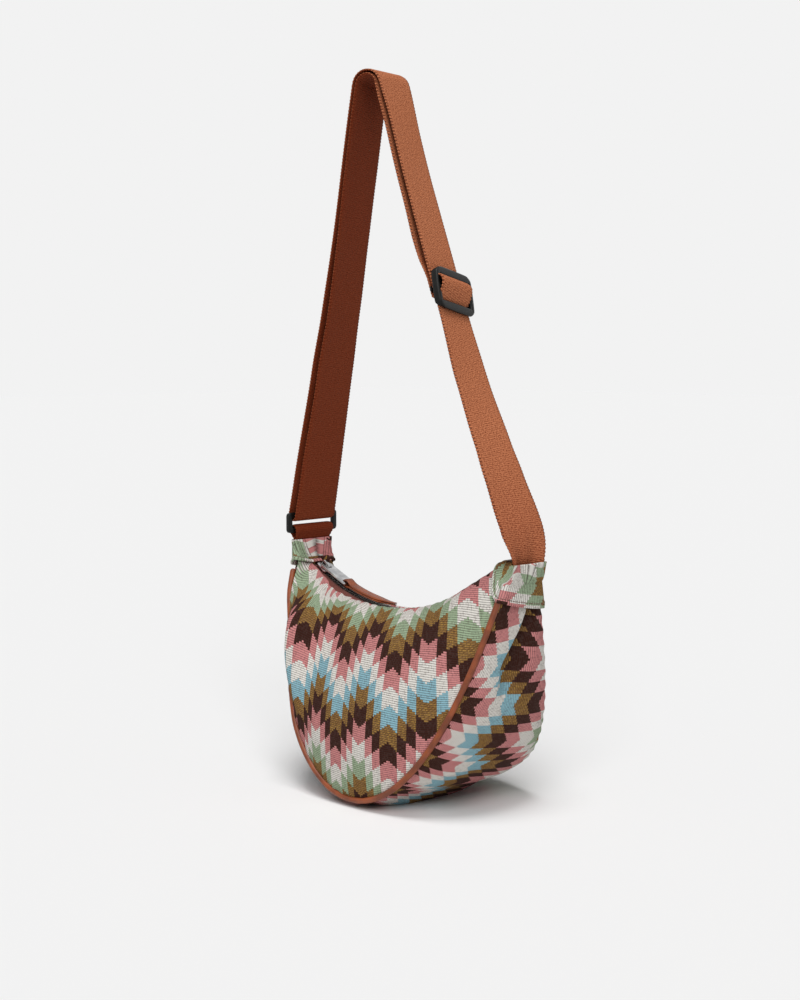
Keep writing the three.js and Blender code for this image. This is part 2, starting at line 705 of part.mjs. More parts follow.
// Place of the strap at one step of the route: middle, width direction and outward normal
function strapFrame({ at, way, length }) {
  const twist = degToRad(alongKeys(TWIST_KEYS, length));
  const flat = vec(way.y, 0, -way.x);
  const side = vec(0, 1, 0);
  return {
    middle: vec(at.x, 0, at.y),
    across: side.clone().multiplyScalar(Math.cos(twist)).addScaledVector(flat, Math.sin(twist)),
    out: flat.clone().multiplyScalar(Math.cos(twist)).addScaledVector(side, -Math.sin(twist)),
    length,
  };
}

// Section of webbing, with its edges cupped outwards by an angle at each edge
function webSection({ middle, across, out }, cup = 0) {
  const facets = 4;
  const section = [];
  for (const face of [1, -1]) {
    for (let k = 0; k <= facets; k++) {
      const share = face * lerp(-1, 1, k / facets);
      const radius = cup ? STRAP_W / 2 / cup : 0;
      const y = cup ? radius * Math.sin(cup * share) : share * STRAP_W / 2;
      const rise = cup ? radius * (1 - Math.cos(cup * share)) : 0;
      const tilt = cup * share;
      section.push(middle.clone()
        .addScaledVector(across, y - face * Math.sin(tilt) * WEB_T / 2)
        .addScaledVector(out, rise + face * Math.cos(tilt) * WEB_T / 2));
    }
  }
  return section;
}

// Layers at the adjuster, from the strap's middle inwards: sewn tail, middle bar, loop, returning layer
const TAIL_AT = -(WEB_T + GAP);
const MID_BAR_AT = TAIL_AT - WEB_T / 2 - GAP - GLIDE_MID_T / 2;
const LOOP_AT = MID_BAR_AT - GLIDE_MID_T / 2 - GAP - WEB_T / 2;
const RETURN_AT = LOOP_AT - WEB_T - GAP;
const SPACING_KEYS = [
  [glideLength, -RETURN_AT],
  [glideLength + STRAIGHT_ABOVE, -RETURN_AT],
  [(archStart + archEnd) / 2, LAYER_SPACING],
  [(archEnd + routeEnd) / 2, LAYER_SPACING],
  [routeEnd, 2 * TURN_R],
];

function strapGeometry() {
  const sections = route.map((step) => {
    const cup = degToRad(STRAP_CUP_DEG) * (1 - smoothstep(step.length, 0, STRAP_CUP_LENGTH));
    return webSection(strapFrame(step), cup);
  });
  const last = strapFrame(route.at(-1));
  const turnSteps = 6;
  const barMiddle = last.middle.clone().addScaledVector(last.out, -TURN_R);
  for (let k = 1; k < turnSteps; k++) {
    const out = last.out.clone().applyAxisAngle(last.across, -Math.PI * k / turnSteps);
    sections.push(webSection({
      middle: barMiddle.clone().addScaledVector(out, TURN_R), across: last.across, out }));
  }
  const returnStart = glideLength + RETURN_END;
  const back = route.filter((step) => step.length > returnStart + 1).reverse();
  const returnAt = glideAt.clone().addScaledVector(rightUp, RETURN_END);
  back.push({ at: returnAt, way: rightUp, length: returnStart });
  for (const step of back) {
    const frame = strapFrame(step);
    const middle = frame.middle.clone().addScaledVector(frame.out, -alongKeys(SPACING_KEYS, step.length));
    sections.push(webSection({ middle, across: frame.across, out: frame.out.clone().negate() }));
  }
  return sweep(sections);
}

addMesh('shoulder_strap', strapGeometry(), WEBBING);

// Ring: a rounded rectangle standing across the strap's foot on the left

const BUCKLE_HALF_GAP = STRAP_W / 2 + WEB_SIDE_GAP;

function ringGeometry() {
  const outline = roundedRect(2 * (BUCKLE_HALF_GAP + RING_SIDE), RING_H, RING_CORNER_R);
  const window = roundedRect(2 * BUCKLE_HALF_GAP, RING_H - 2 * RING_BAR, SMALL_R, 2);
  return plate(outline, [window], -RING_T / 2, RING_T / 2);
}

const ring = addMesh('strap_ring', ringGeometry(), PLASTIC);
ring.quaternion.setFromRotationMatrix(
  new THREE.Matrix4().makeBasis(vec(0, 1, 0), vec(0, 0, 1), vec(1, 0, 0)));
ring.position.set(-RING_X, 0, RING_Z);

// Webbing loop: over the ring's lower bar, then both layers sewn together and gathered into the left tab
const LOOP_FOOT_HALF_T = WEB_T + GAP / 2;

function webbingLoopGeometry() {
  const turn = 8;
  const wrap = degToRad(LOOP_WRAP_DEG);
  const arc = (radius) => Array.from({ length: turn + 1 }, (_, k) => {
    const a = lerp(-wrap, Math.PI + wrap, k / turn);
    return new THREE.Vector2(radius * Math.cos(a), radius * Math.sin(a));
  });
  const top = TAB_TOP_Z - RING_LOW_BAR_Z;
  const low = top - LOOP_INSERT;
  const outline = [
    new THREE.Vector2(LOOP_FOOT_HALF_T, low), new THREE.Vector2(LOOP_FOOT_HALF_T, top),
    ...arc(TURN_R + WEB_T / 2),
    new THREE.Vector2(-LOOP_FOOT_HALF_T, top), new THREE.Vector2(-LOOP_FOOT_HALF_T, low),
  ];
  const eye = [...arc(TURN_R - WEB_T / 2), new THREE.Vector2(0, top + WEB_T)];
  const geometry = acrossY(outline, [eye], 1);
  const position = geometry.attributes.position;
  for (let i = 0; i < position.count; i++) {
    const wide = lerp(STRAP_W, LOOP_FOOT_W, smoothstep(-position.getZ(i), 0, -top));
    position.setY(i, position.getY(i) * wide);
  }
  return geometry;
}

const webbingLoop = addMesh('left_webbing_loop', webbingLoopGeometry(), WEBBING);
webbingLoop.position.set(-RING_X, 0, RING_LOW_BAR_Z);

// Adjuster: in its group x runs across the strap, y up along it and z out of the loop

const glideFrame = strapFrame({ at: glideAt, way: rightUp, length: glideLength });
const glideGroup = new THREE.Group();
glideGroup.position.copy(glideFrame.middle);
glideGroup.quaternion.setFromRotationMatrix(new THREE.Matrix4().makeBasis(
  glideFrame.across, vec(rightUp.x, 0, rightUp.y), glideFrame.out));
bag.add(glideGroup);

// Tri-glide: top and bottom bars in front of the strap, middle bar behind it, cheeks at both edges
function triGlideGeometry() {
  const width = 2 * (BUCKLE_HALF_GAP + GLIDE_SIDE);
  const barLow = WEB_T / 2 + GAP;
  const midLow = MID_BAR_AT - GLIDE_MID_T / 2;
  const windowH = GLIDE_H - 2 * GLIDE_BAR;
  const frame = plate(roundedRect(width, GLIDE_H, GLIDE_CORNER_R),
    [roundedRect(2 * BUCKLE_HALF_GAP, windowH, SMALL_R, 2)], barLow, barLow + GLIDE_T);
  const cheekX = BUCKLE_HALF_GAP + GLIDE_SIDE / 2;
  const cheekW = GLIDE_SIDE - 2 * GLIDE_CHEEK_INSET;
  const cheek = roundedRect(cheekW, windowH + 2 * GLIDE_CHEEK_LAP, cheekW / 3);
  const cheeks = [-1, 1].map((side) => plate(
    shifted(cheek, side * cheekX, 0), [], midLow, barLow + GLIDE_T / 2));
  const bar = roundedRect(2 * cheekX, GLIDE_MID_BAR, SMALL_R, 2);
  const middle = plate(bar, [], midLow, midLow + GLIDE_MID_T);
  return joined(frame, ...cheeks, middle);
}

// Sewn end of the strap: up behind the middle bar, round below it and up again as a short tail
function endLoopGeometry() {
  const turn = 6;
  const half = (TAIL_AT - LOOP_AT) / 2;
  const centre = (TAIL_AT + LOOP_AT) / 2;
  const turnY = -GLIDE_MID_BAR / 2 + half - WEB_T / 2 - GAP - LOOP_TURN_DROP;
  const arc = (radius) => Array.from({ length: turn + 1 }, (_, k) => {
    const a = Math.PI * k / turn;
    return new THREE.Vector2(centre + radius * Math.cos(a), turnY - radius * Math.sin(a));
  });
  const outline = [
    new THREE.Vector2(TAIL_AT + WEB_T / 2, LOOP_TAIL), ...arc(half + WEB_T / 2),
    new THREE.Vector2(LOOP_AT - WEB_T / 2, LOOP_UP), new THREE.Vector2(LOOP_AT + WEB_T / 2, LOOP_UP),
    ...arc(half - WEB_T / 2).reverse(), new THREE.Vector2(TAIL_AT - WEB_T / 2, LOOP_TAIL),
  ];
  return plate(outline, [], -STRAP_W / 2, STRAP_W / 2).rotateY(-Math.PI / 2);
}

addMesh('tri_glide', triGlideGeometry(), PLASTIC, glideGroup);
addMesh('strap_end_loop', endLoopGeometry(), WEBBING, glideGroup);

// End tabs: cloth caps over the bag's ends, drawn in round the strap's foot

// Facets of a ring round the bag, and the degrees of the turn that each part takes up
const RING_PARTS = { panel: 7, gusset: 10, zip: 2 };
const RING_SPANS = { panel: 115, gusset: 100, zip: 30 };

// Closed ring of points round the bag, each at its own u, starting at the zip's front edge
function bagRing(uAt) {
  const ringPoints = [];
  let degrees = 180 + RING_SPANS.zip / 2;
  const add = (part, pointAt) => {
    const count = RING_PARTS[part];
    for (let k = 0; k < count; k++) {
      ringPoints.push({ degrees, point: pointAt(uAt(degrees), k / count) });
      degrees += RING_SPANS[part] / count;
    }
  };
  add('panel', (u, share) => panelCurve(u, -1).getPointAt(share));
  add('gusset', (u, share) => gussetPoint(u, lerp(-1, 1, share), false));
  add('panel', (u, share) => panelCurve(u, 1).getPointAt(1 - share));
  add('zip', (u, share) => arcPoint(zipAngle(u), lerp(ZIP_HALF_GAP, -ZIP_HALF_GAP, share)));
  return ringPoints;
}

function endTabGeometry(end, hole) {
  const coverRows = 3;
  const roofRows = 4;
  const gussetRim = fromEnd(TAB_COVER);
  const zipEnd = end < 0 ? ZIP_LEFT : ZIP_RIGHT;
  const zipRim = Math.abs(zipShare(zipEnd - end * TAB_ZIP_COVER / ZIP_R));
  const rimAt = (degrees) => lerp(zipRim, gussetRim, (1 + Math.cos(degToRad(degrees))) / 2);
  const covered = [];
  for (let i = 0; i <= coverRows; i++) {
    covered.push(bagRing((degrees) => end * lerp(rimAt(degrees), 1, i / coverRows)));
  }
  const mouth = covered[coverRows].map(({ degrees }) => {
    const a = degToRad(degrees);
    const side = Math.cos(a) > 0 ? hole.outer : hole.inner;
    const round = (value) => Math.sign(value) * Math.abs(value) ** (2 / side.power);
    return vec(
      end * (hole.x + (side.reach + TAB_EASE) * round(Math.cos(a))),
      (hole.halfY + TAB_EASE) * round(Math.sin(a)),
      TAB_TOP_Z);
  });
  const body = covered.map((line) => line.map(({ point }) => point));
  const middle = vec(end * END_X, 0, END_Z);
  const inner = offsetGrid(body, gridNormals(body, middle, true), TAB_EASE);
  for (let i = 1; i <= roofRows; i++) {
    const share = i / roofRows;
    inner.push(inner[coverRows].map((p, k) => {
      const drawn = p.clone().lerp(mouth[k], Math.sqrt(share));
      return drawn.setZ(lerp(p.z, TAB_TOP_Z, share));
    }));
  }
  const outer = offsetGrid(inner, gridNormals(inner, middle, true), FABRIC_T);
  return wallBetween(outer, inner, true);
}

const cupAngle = degToRad(STRAP_CUP_DEG);
const cupRadius = STRAP_W / 2 / cupAngle;
const cupHalfW = cupRadius * Math.sin(cupAngle) + WEB_T / 2;
const cupRise = cupRadius * (1 - Math.cos(cupAngle));
const loopSide = { reach: LOOP_FOOT_HALF_T + GAP, power: LEFT_MOUTH_POWER };
addMesh('left_end_tab', endTabGeometry(-1, {
  x: RING_X,
  halfY: LOOP_FOOT_W / 2 + GAP,
  outer: loopSide,
  inner: loopSide,
}), JACQUARD);
addMesh('right_end_tab', endTabGeometry(1, {
  x: TAB_X + cupRise,
  halfY: cupHalfW + GAP,
  outer: { reach: WEB_T + GAP, power: RIGHT_MOUTH_OUTER_POWER },
  inner: { reach: cupRise + WEB_T / 2, power: RIGHT_MOUTH_INNER_POWER },
}), JACQUARD);

export default bag;
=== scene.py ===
from math import atan2, cos, hypot, pi, radians, sin, sqrt

import bmesh
import bpy
import numpy as np
from mathutils import Matrix, Vector, noise


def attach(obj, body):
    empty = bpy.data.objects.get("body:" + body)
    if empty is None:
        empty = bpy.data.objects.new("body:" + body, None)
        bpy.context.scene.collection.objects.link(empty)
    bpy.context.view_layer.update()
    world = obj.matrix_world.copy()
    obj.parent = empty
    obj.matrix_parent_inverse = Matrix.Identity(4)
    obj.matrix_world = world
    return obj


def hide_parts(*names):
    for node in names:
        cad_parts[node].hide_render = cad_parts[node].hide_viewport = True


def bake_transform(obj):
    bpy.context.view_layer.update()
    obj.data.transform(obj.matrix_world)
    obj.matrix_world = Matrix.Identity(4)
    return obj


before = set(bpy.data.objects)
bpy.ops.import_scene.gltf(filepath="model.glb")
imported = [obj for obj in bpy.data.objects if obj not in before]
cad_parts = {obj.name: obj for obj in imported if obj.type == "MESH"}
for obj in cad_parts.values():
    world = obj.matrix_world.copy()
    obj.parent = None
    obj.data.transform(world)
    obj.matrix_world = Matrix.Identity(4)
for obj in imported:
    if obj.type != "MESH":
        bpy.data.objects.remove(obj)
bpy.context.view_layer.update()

# Camera: stands to the right of the bag's front, as high as the middle of the strap, and looks a little down
# at the bag through a long lens. Its aim, distance and rise are solved from the photograph by least squares.
MM = 0.001
AIM = Vector((-14.39, 0, 210.06)) * MM
CAMERA_DISTANCE = 1256.2 * MM
CAMERA_TURN = 45
CAMERA_RISE = 5.1845
SENSOR_W = 36
LENS = 63


def seen_from(turn, rise):
    """The way from the bag to what stands at a turn to the right of its front and at a rise, in degrees."""
    turn, rise = radians(turn), radians(rise)
    return Vector((sin(turn) * cos(rise), -cos(turn) * cos(rise), sin(rise)))


def placed(name, data):
    """A new object in the scene."""
    made = bpy.data.objects.new(name, data)
    bpy.context.scene.collection.objects.link(made)
    return made


def faced(name, data, way):
    """A camera or lamp that looks back along a way."""
    made = placed(name, data)
    made.rotation_euler = way.to_track_quat("Z", "Y").to_euler()
    return made


towards_camera = seen_from(CAMERA_TURN, CAMERA_RISE)
camera = faced("camera", bpy.data.cameras.new("camera"), towards_camera)
camera.data.sensor_width = SENSOR_W
camera.data.lens = LENS
camera.location = AIM + towards_camera * CAMERA_DISTANCE
bpy.context.scene.camera = camera

# Front panel: a deep crescent of jacquard, woven in a stepped zigzag of ten bands. Its sagging top edge is
# turned under and sewn to the zip, its lower edge goes into the piped seam, and the filling draws it tight.
CLOTH_T = 2.0
SOFT_EDGE = 0.35
BASE_HALF_DEPTH = 63
END_X = 104
END_Z = 162
FRONT_SEAM = {"base_z": 5.5, "reach": 52, "side_x": 95, "side_depth": 55, "side_z": 73, "end_depth": 21}
BACK_SEAM = {"base_z": 8, "reach": 70, "side_x": 98, "side_depth": 41, "side_z": 50, "end_depth": 14}
SEAM_STEPS = 400
SEAM_NUDGE = 0.004
ZIP_R = 140
ZIP_LOW_X = -20
ZIP_LOW_Z = 131.5
ZIP_LEFT = -88 / ZIP_R
ZIP_RIGHT = 122.2 / ZIP_R
ZIP_ARC_END = 73.3 / ZIP_R
ZIP_HALF_GAP = 6.5
SHOULDER_REACH = 0.28
SHOULDER_FALL = 0.15
BELLY_REACH = 0.4
BELLY_LEAN = 0.25
TAB_COVER = 13
CORNER_TRIM = 2
BAG_MIDDLE = np.array([0, 0, 70])
PANEL_COLUMNS = 150
PANEL_ROWS = 64
PIPED_GAP = 2.2
SEAM_PUCKER_REACH = 7
ZIP_PUCKER = 0.25
ZIP_PUCKER_REACH = 5
ZIP_PUCKER_WAVE = 1.4
PANEL_SWAY = 1.1
SWAY_FROM = 20
LEFT_BELLY = 12
BELLY_X = (50, 80)
BELLY_Z = (25, 55, 112, 148)
BELLY_TO_SEAM = (0, 14, 15, 50)
SAG_DOWN = 16
EDGE_SAG = [(-92, 0), (-85, -1), (-79, -2.4), (-66, -2), (-55, -1.4), (-42, 0.3), (-13, 1.4), (25, 0.6),
            (50, 0)]


def unit(vectors):
    vectors = np.asarray(vectors, float)
    return vectors / np.maximum(np.linalg.norm(vectors, axis=-1, keepdims=True), 1e-9)


def ease(value, low, high):
    """From 0 at low to 1 at high, starting and ending gently."""
    share = np.clip((np.asarray(value, float) - low) / (high - low), 0, 1)
    return share * share * (3 - 2 * share)


def hill(value, foot, top, brow, end):
    """From 0 at the foot up to 1 at the top, and from the brow down to 0 at the end."""
    return ease(value, foot, top) * (1 - ease(value, brow, end))


def between(a, b, share):
    return a + (b - a) * share


def lengths_along(points):
    """Lengths along a row of points from its first one."""
    return np.append(0, np.cumsum(np.linalg.norm(np.diff(points, axis=0), axis=1)))


def along_curve(ends, shares, steps=160):
    """Points of a cubic curve at shares of its length, and its length."""
    a, b, c, d = (np.asarray(p, float) for p in ends)

    def at(t):
        t = np.asarray(t, float)[..., None]
        return (1 - t) ** 3 * a + 3 * (1 - t) ** 2 * t * b + 3 * (1 - t) * t * t * c + t ** 3 * d

    even = np.linspace(0, 1, steps + 1)
    lengths = lengths_along(at(even))
    return at(np.interp(np.asarray(shares) * lengths[-1], lengths, even)), lengths[-1]


def seam_ends(side):
    seam = FRONT_SEAM if side < 0 else BACK_SEAM
    return ((0, side * BASE_HALF_DEPTH, seam["base_z"]),
            (seam["reach"], side * BASE_HALF_DEPTH, seam["base_z"]),
            (seam["side_x"], side * seam["side_depth"], seam["side_z"]),
            (END_X, side * seam["end_depth"], END_Z))


SEAM_L = along_curve(seam_ends(-1), 0)[1]


def from_end(length):
    """A seam's u at a length from its end."""
    return 1 - length / SEAM_L


def seam_point(u, side):
    """A seam's points at u from -1, the left end, to 1, on the front (side -1) or the back (side 1)."""
    points, _ = along_curve(seam_ends(side), np.abs(u), SEAM_STEPS)
    return points * np.stack([np.sign(u), np.ones_like(u), np.ones_like(u)], -1)


def seam_outward(u):
    """Directions out of the bag, square to both seams in the upright plane along the bag."""
    size = np.abs(u)
    ahead, behind = np.minimum(size + SEAM_NUDGE, 1), np.maximum(size - SEAM_NUDGE, 0)
    way = sum(unit(along_curve(seam_ends(side), ahead, SEAM_STEPS)[0]
                   - along_curve(seam_ends(side), behind, SEAM_STEPS)[0]) for side in (-1, 1))
    return unit(np.stack([way[..., 2] * np.sign(u), np.zeros_like(size), -way[..., 0]], -1))


def zip_point(angle, y, lift=0.0):
    """A place on the zip at an angle of its arc, lifted square to it. It runs straight past the arc's end."""
    slope = min(angle, ZIP_ARC_END)
    radius = ZIP_R - lift
    on = ZIP_R * (angle - slope)
    return np.array([ZIP_LOW_X + radius * sin(slope) + on * cos(slope), y,
                     ZIP_LOW_Z + ZIP_R - radius * cos(slope) + on * sin(slope)])


def zip_angle(u):
    return between(ZIP_LEFT, ZIP_RIGHT, (u + 1) / 2)


def panel_section(u, side):
    """A panel's section at u: from the zip over the shoulder and down the belly to the seam."""
    top = zip_point(zip_angle(u), side * ZIP_HALF_GAP)
    bottom = seam_point(np.array(float(u)), side)
    drop = np.linalg.norm(top - bottom)
    shoulder = unit((0, side, -SHOULDER_FALL))
    belly = unit(np.array([0, side * BELLY_LEAN, 0]) - seam_outward(np.array(float(u))))
    return top, top + shoulder * drop * SHOULDER_REACH, bottom + belly * drop * BELLY_REACH, bottom


def panel_face(side, seam_gap):
    """Outer face of a panel as columns of points from the zip down, and their distances from the zip."""
    face, down = [], []
    for u in np.linspace(-1, 1, PANEL_COLUMNS + 1):
        section = panel_section(u, side)
        length = along_curve(section, 0)[1]
        gap = seam_gap + CORNER_TRIM * ease(abs(u), from_end(2 * TAB_COVER), 1)
        shares = np.linspace(0, 1 - gap / length, PANEL_ROWS + 1)
        face.append(along_curve(section, shares)[0])
        down.append(shares * length)
    return np.array(face), np.array(down)


def face_normals(face, middle=BAG_MIDDLE, wrap=False):
    """Normals of a grid of points, turned away from the middle."""
    if wrap:
        face = np.concatenate([face[-1:], face, face[:1]])
    normals = unit(np.cross(np.gradient(face, axis=0), np.gradient(face, axis=1)))
    if wrap:
        face, normals = face[1:-1], normals[1:-1]
    away = np.sum(normals * (face - middle))
    return normals if away > 0 else -normals


def ripple(points, size, seed):
    """Smooth unevenness from -1 to 1 at each point, with hollows and swellings of about this size."""
    flat = points.reshape(-1, 3) / size + seed
    return np.array([noise.noise(p) for p in flat]).reshape(points.shape[:-1])


def puckers(depth, to_seam, reach, along, wave):
    """Small waves that a row of stitches draws into the cloth within reach of it."""
    return depth * np.exp(-to_seam / reach) * np.sin(along / wave)


def stuffed(face, down, seam_pucker, wave, size, seed):
    """How far a panel's cloth stands off its smooth form, by puckers along its edges and a soft sway."""
    x, to_seam = face[..., 0], down[:, -1:] - down
    pucker = puckers(seam_pucker, to_seam, SEAM_PUCKER_REACH, x, wave)
    pucker += puckers(ZIP_PUCKER, down, ZIP_PUCKER_REACH, x, ZIP_PUCKER_WAVE)
    sway = PANEL_SWAY * ripple(face, size, seed) * ease(to_seam, 0, SWAY_FROM) * ease(down, 0, SWAY_FROM)
    return pucker + sway


def new_piece(name, points, faces):
    """A smooth mesh of points in millimetres."""
    mesh = bpy.data.meshes.new(name)
    mesh.from_pydata((np.asarray(points) * MM).tolist(), [], faces)
    mesh.polygons.foreach_set("use_smooth", [True] * len(mesh.polygons))
    return placed(name, mesh)


def loft(name, loops, places=None, wrap=False):
    """A closed mesh through a row of equal loops of points, with each point's place on the flat cloth."""
    loops = np.asarray(loops, float)
    count, around = loops.shape[:2]
    i, j = (a.ravel() for a in np.meshgrid(
        np.arange(count if wrap else count - 1), np.arange(around), indexing="ij"))
    rows = list(np.stack([i, i + 1, i + 1, i], 1))
    spots = list(np.stack([j, j, j + 1, j + 1], 1) % around)
    half = around // 2
    for end, turn in [] if wrap else [(0, 1), (count - 1, -1)]:
        caps = [[around - 1, 0, 1], [half - 1, half, half + 1]]
        caps += [[k, k + 1, around - k - 1, around - k] for k in range(1, half - 1)]
        for cap in caps:
            rows.append(np.full(len(cap), end))
            spots.append(np.array(cap[::turn]))
    faces = [((r % count) * around + s).tolist() for r, s in zip(rows, spots)]
    points = loops.reshape(-1, 3)
    fan = np.array([[f[0], f[k], f[k + 1]] for f in faces for k in range(1, len(f) - 1)])
    volume = np.sum(points[fan[:, 0]] * np.cross(points[fan[:, 1]], points[fan[:, 2]]))
    if volume < 0:
        faces, rows, spots = ([one[::-1] for one in each] for each in (faces, rows, spots))
    piece = new_piece(name, points, faces)
    if places is not None:
        laid = piece.data.uv_layers.new(name="cloth")
        laid.data.foreach_set("uv", places[np.concatenate(rows), np.concatenate(spots)].ravel())
    return piece


def cloth_piece(name, face, normals, thickness, places, wrap=False):
    """A sheet of cloth: over its outer face, round a soft edge and back along its inner face."""
    inner = face - normals * thickness
    edges = []
    for k, beside in ((0, 1), (-1, -2)):
        rounding = unit(face[:, [k]] - face[:, [beside]]) * thickness * SOFT_EDGE
        edges.append((face[:, [k]] + inner[:, [k]]) / 2 + rounding)
    loops = np.concatenate([edges[0], face, edges[1], inner[:, ::-1]], axis=1)
    laid = np.concatenate([places[:, :1], places, places[:, -1:], places[:, ::-1]], axis=1)
    return loft(name, loops, laid, wrap)


def dress(piece, finish, body, slot, *nodes):
    """Gives a piece its finish, the body that it moves with and the solids that it stands for."""
    piece.data.materials.append(finish)
    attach(piece, body)
    if nodes:
        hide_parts(*nodes)


def paint(*levels):
    """A colour written as on a screen, from 0 to 255, for a shader."""
    return tuple(((c / 255 + 0.055) / 1.055) ** 2.4 if c > 10 else c / 3294.6 for c in levels) + (1,)


class Thread:
    """A socket in a finish's nodes. Python's operators on it add Math nodes."""

    def __init__(self, tree, socket=None):
        self.tree = tree
        self.socket = socket

    def node(self, kind, settings=None, sockets=None, output=0):
        made = self.tree.nodes.new("ShaderNode" + kind)
        for name, value in (settings or {}).items():
            if name == "stops":
                ramp = made.color_ramp
                while len(ramp.elements) < len(value):
                    ramp.elements.new(1)
                for stop, (place, colour) in zip(ramp.elements, value):
                    stop.position = place
                    stop.color = colour
            elif name == "between":
                made.color_ramp.interpolation = value
            else:
                setattr(made, name, value)
        for key, value in (sockets or {}).items():
            if isinstance(value, Thread):
                self.tree.links.new(value.socket, made.inputs[key])
            else:
                made.inputs[key].default_value = value
        return Thread(self.tree, made.outputs[output])

    def other(self, output):
        return Thread(self.tree, self.socket.node.outputs[output])

    def math(self, operation, *values):
        return self.node("Math", {"operation": operation}, dict(enumerate(values)))

    def __add__(self, b):
        return self.math("ADD", self, b)

    def __radd__(self, b):
        return self.math("ADD", b, self)

    def __sub__(self, b):
        return self.math("SUBTRACT", self, b)

    def __rsub__(self, b):
        return self.math("SUBTRACT", b, self)

    def __mul__(self, b):
        return self.math("MULTIPLY", self, b)

    def __rmul__(self, b):
        return self.math("MULTIPLY", b, self)

    def __truediv__(self, b):
        return self.math("DIVIDE", self, b)

    def __rtruediv__(self, b):
        return self.math("DIVIDE", b, self)

    def __mod__(self, b):
        return self.math("FLOORED_MODULO", self, b)

    def __gt__(self, b):
        return self.math("GREATER_THAN", self, b)

    def __lt__(self, b):
        return self.math("LESS_THAN", self, b)

    def __abs__(self):
        return self.math("ABSOLUTE", self)

    def soft_step(self, low, high):
        return self.node("MapRange", {"interpolation_type": "SMOOTHSTEP"},
                         {0: self, 1: low, 2: high, 3: 0.0, 4: 1.0})

    def mix(self, a, b, how="MIX"):
        """Colour a turned into colour b by this much."""
        return self.node("Mix", {"data_type": "RGBA", "blend_type": how}, {0: self, 6: a, 7: b}, 2)


def new_finish(name, **constants):
    """A new material, a bare thread to start its nodes from, and a call that links its varying sockets."""
    finish = bpy.data.materials.new(name)
    finish.use_nodes = True
    tree = finish.node_tree
    shader = tree.nodes["Principled BSDF"]
    for key, value in constants.items():
        shader.inputs[key.replace("_", " ")].default_value = value

    def link(**threads):
        for key, thread in threads.items():
            tree.links.new(thread.socket, shader.inputs[key.replace("_", " ")])

    return finish, Thread(tree), link


def cloth_ways(start):
    """Places across and along the flat cloth, in millimetres."""
    laid = start.node("SeparateXYZ", sockets={0: start.node("UVMap", {"uv_map": "cloth"})})
    return laid, laid.other("Y")


def mottling(start, scale, detail=2.0):
    """Cloudy unevenness from 0 to 1 through a piece."""
    return start.node("TexNoise", sockets={
        "Vector": start.node("TexCoord").other("Object"), "Scale": scale, "Detail": detail})


def relief(start, strength, depth, height):
    """Normals of a surface whose height of 1 stands this deep, in millimetres."""
    return start.node("Bump", sockets={"Strength": strength, "Distance": depth * MM, "Height": height})


def furrows(count):
    """From 1 at each whole number to 0 halfway to the next."""
    return abs(count % 1 - 0.5) * 2


HALF_REPEAT = 28
BAND = 12
COLUMN_EDGES = (0.243, 0.5, 0.757)
COLUMN_RISE = 1.584
RIB = 1.4
THREAD = 0.7
TWILL = 2.0
PINK = paint(205, 137, 136)
CREAM = paint(226, 223, 216)
GREEN = paint(158, 178, 148)
OLIVE = paint(144, 109, 61)
BROWN = paint(56, 28, 20)
BLUE = paint(142, 186, 198)
BANDS = [PINK, CREAM, GREEN, OLIVE, BROWN, PINK, CREAM, BLUE, OLIVE, BROWN]

jacquard, start, link = new_finish("jacquard", Roughness=0.95, Specular_IOR_Level=0.12)
across, down = cloth_ways(start)
thread_no = start.math("FLOOR", across / THREAD)
rib_no = start.math("FLOOR", down / RIB)
pick = start.node("TexWhiteNoise", {"noise_dimensions": "2D"},
                  {"Vector": start.node("CombineXYZ", sockets={0: thread_no, 1: rib_no})})
turn = start.math("PINGPONG", (thread_no + 0.5) * (THREAD / HALF_REPEAT), 1.0)
steps = sum((turn > edge for edge in COLUMN_EDGES[1:]), turn > COLUMN_EDGES[0])
level = (rib_no + 0.5) * (RIB / BAND) + turn * COLUMN_RISE - steps
band_no = start.math("FLOOR", level) % len(BANDS)
stops = [(k / len(BANDS), yarn) for k, yarn in enumerate(BANDS)]
colour = start.node("ValToRGB", {"between": "CONSTANT", "stops": stops}, {0: (band_no + 0.5) / len(BANDS)})
rib = furrows(down / RIB)
end = furrows(across / THREAD + rib_no % 2 * 0.5)
olive = start.math("COMPARE", band_no % 5, 3.0, 0.1)
twill = ((across * 0.8 + down) / TWILL) % 1 > 0.5
colour = (olive * (twill * 0.4 + pick * 0.25)).mix(colour, paint(82, 54, 30))
colour = (olive * (pick > 0.62) * 0.45).mix(colour, paint(190, 150, 76))
colour = ((pick > 0.85) * 0.2).mix(colour, paint(96, 66, 62))
colour = ((pick < 0.2) * 0.02).mix(colour, paint(236, 224, 214))
# Dark dashed lines in the furrows between the ribs: partly painted shade in the furrows, partly darker yarn
# showing between the ribs.
colour = (rib.soft_step(0.35, 1.0) * (pick * 0.5 + 0.38)).mix(colour, paint(62, 46, 42))
colour = (mottling(start, 60.0, 4.0) * 0.25).mix(colour, paint(120, 96, 88), "SOFT_LIGHT")
height = (1 - rib * rib) * 0.8 + (1 - end * end) * 0.3 + pick * 0.08
link(Base_Color=colour, Normal=relief(start, strength=0.6, depth=0.4, height=height))

# The zigzag's columns and bands over the panel: counts at the zip's middle, counts per 100 mm to the right
# and down, and how fast these change. They are fitted by least squares to corners of the zigzag in the
# photograph. The cloth is turned at the top left corner and pulled along its edge.
FRONT_COLUMNS = (-1.21, 3.95, -1.81, -0.7, 0.17, 0.66)
FRONT_BANDS = (2.3, -1.17, 7.43, -1.14, -0.01, 0.34)
CORNER_X = (76, 98)
CORNER_HEIGHTS = (108, 146)
CORNER_Z = 150
CORNER_LAG = 1.7
CORNER_AT_ZIP = 0.75
CORNER_DOWN = 24
EDGE_X = (44, 64, 68, 82)
EDGE_DOWN = (4, 34)
EDGE_LAG = 1.7


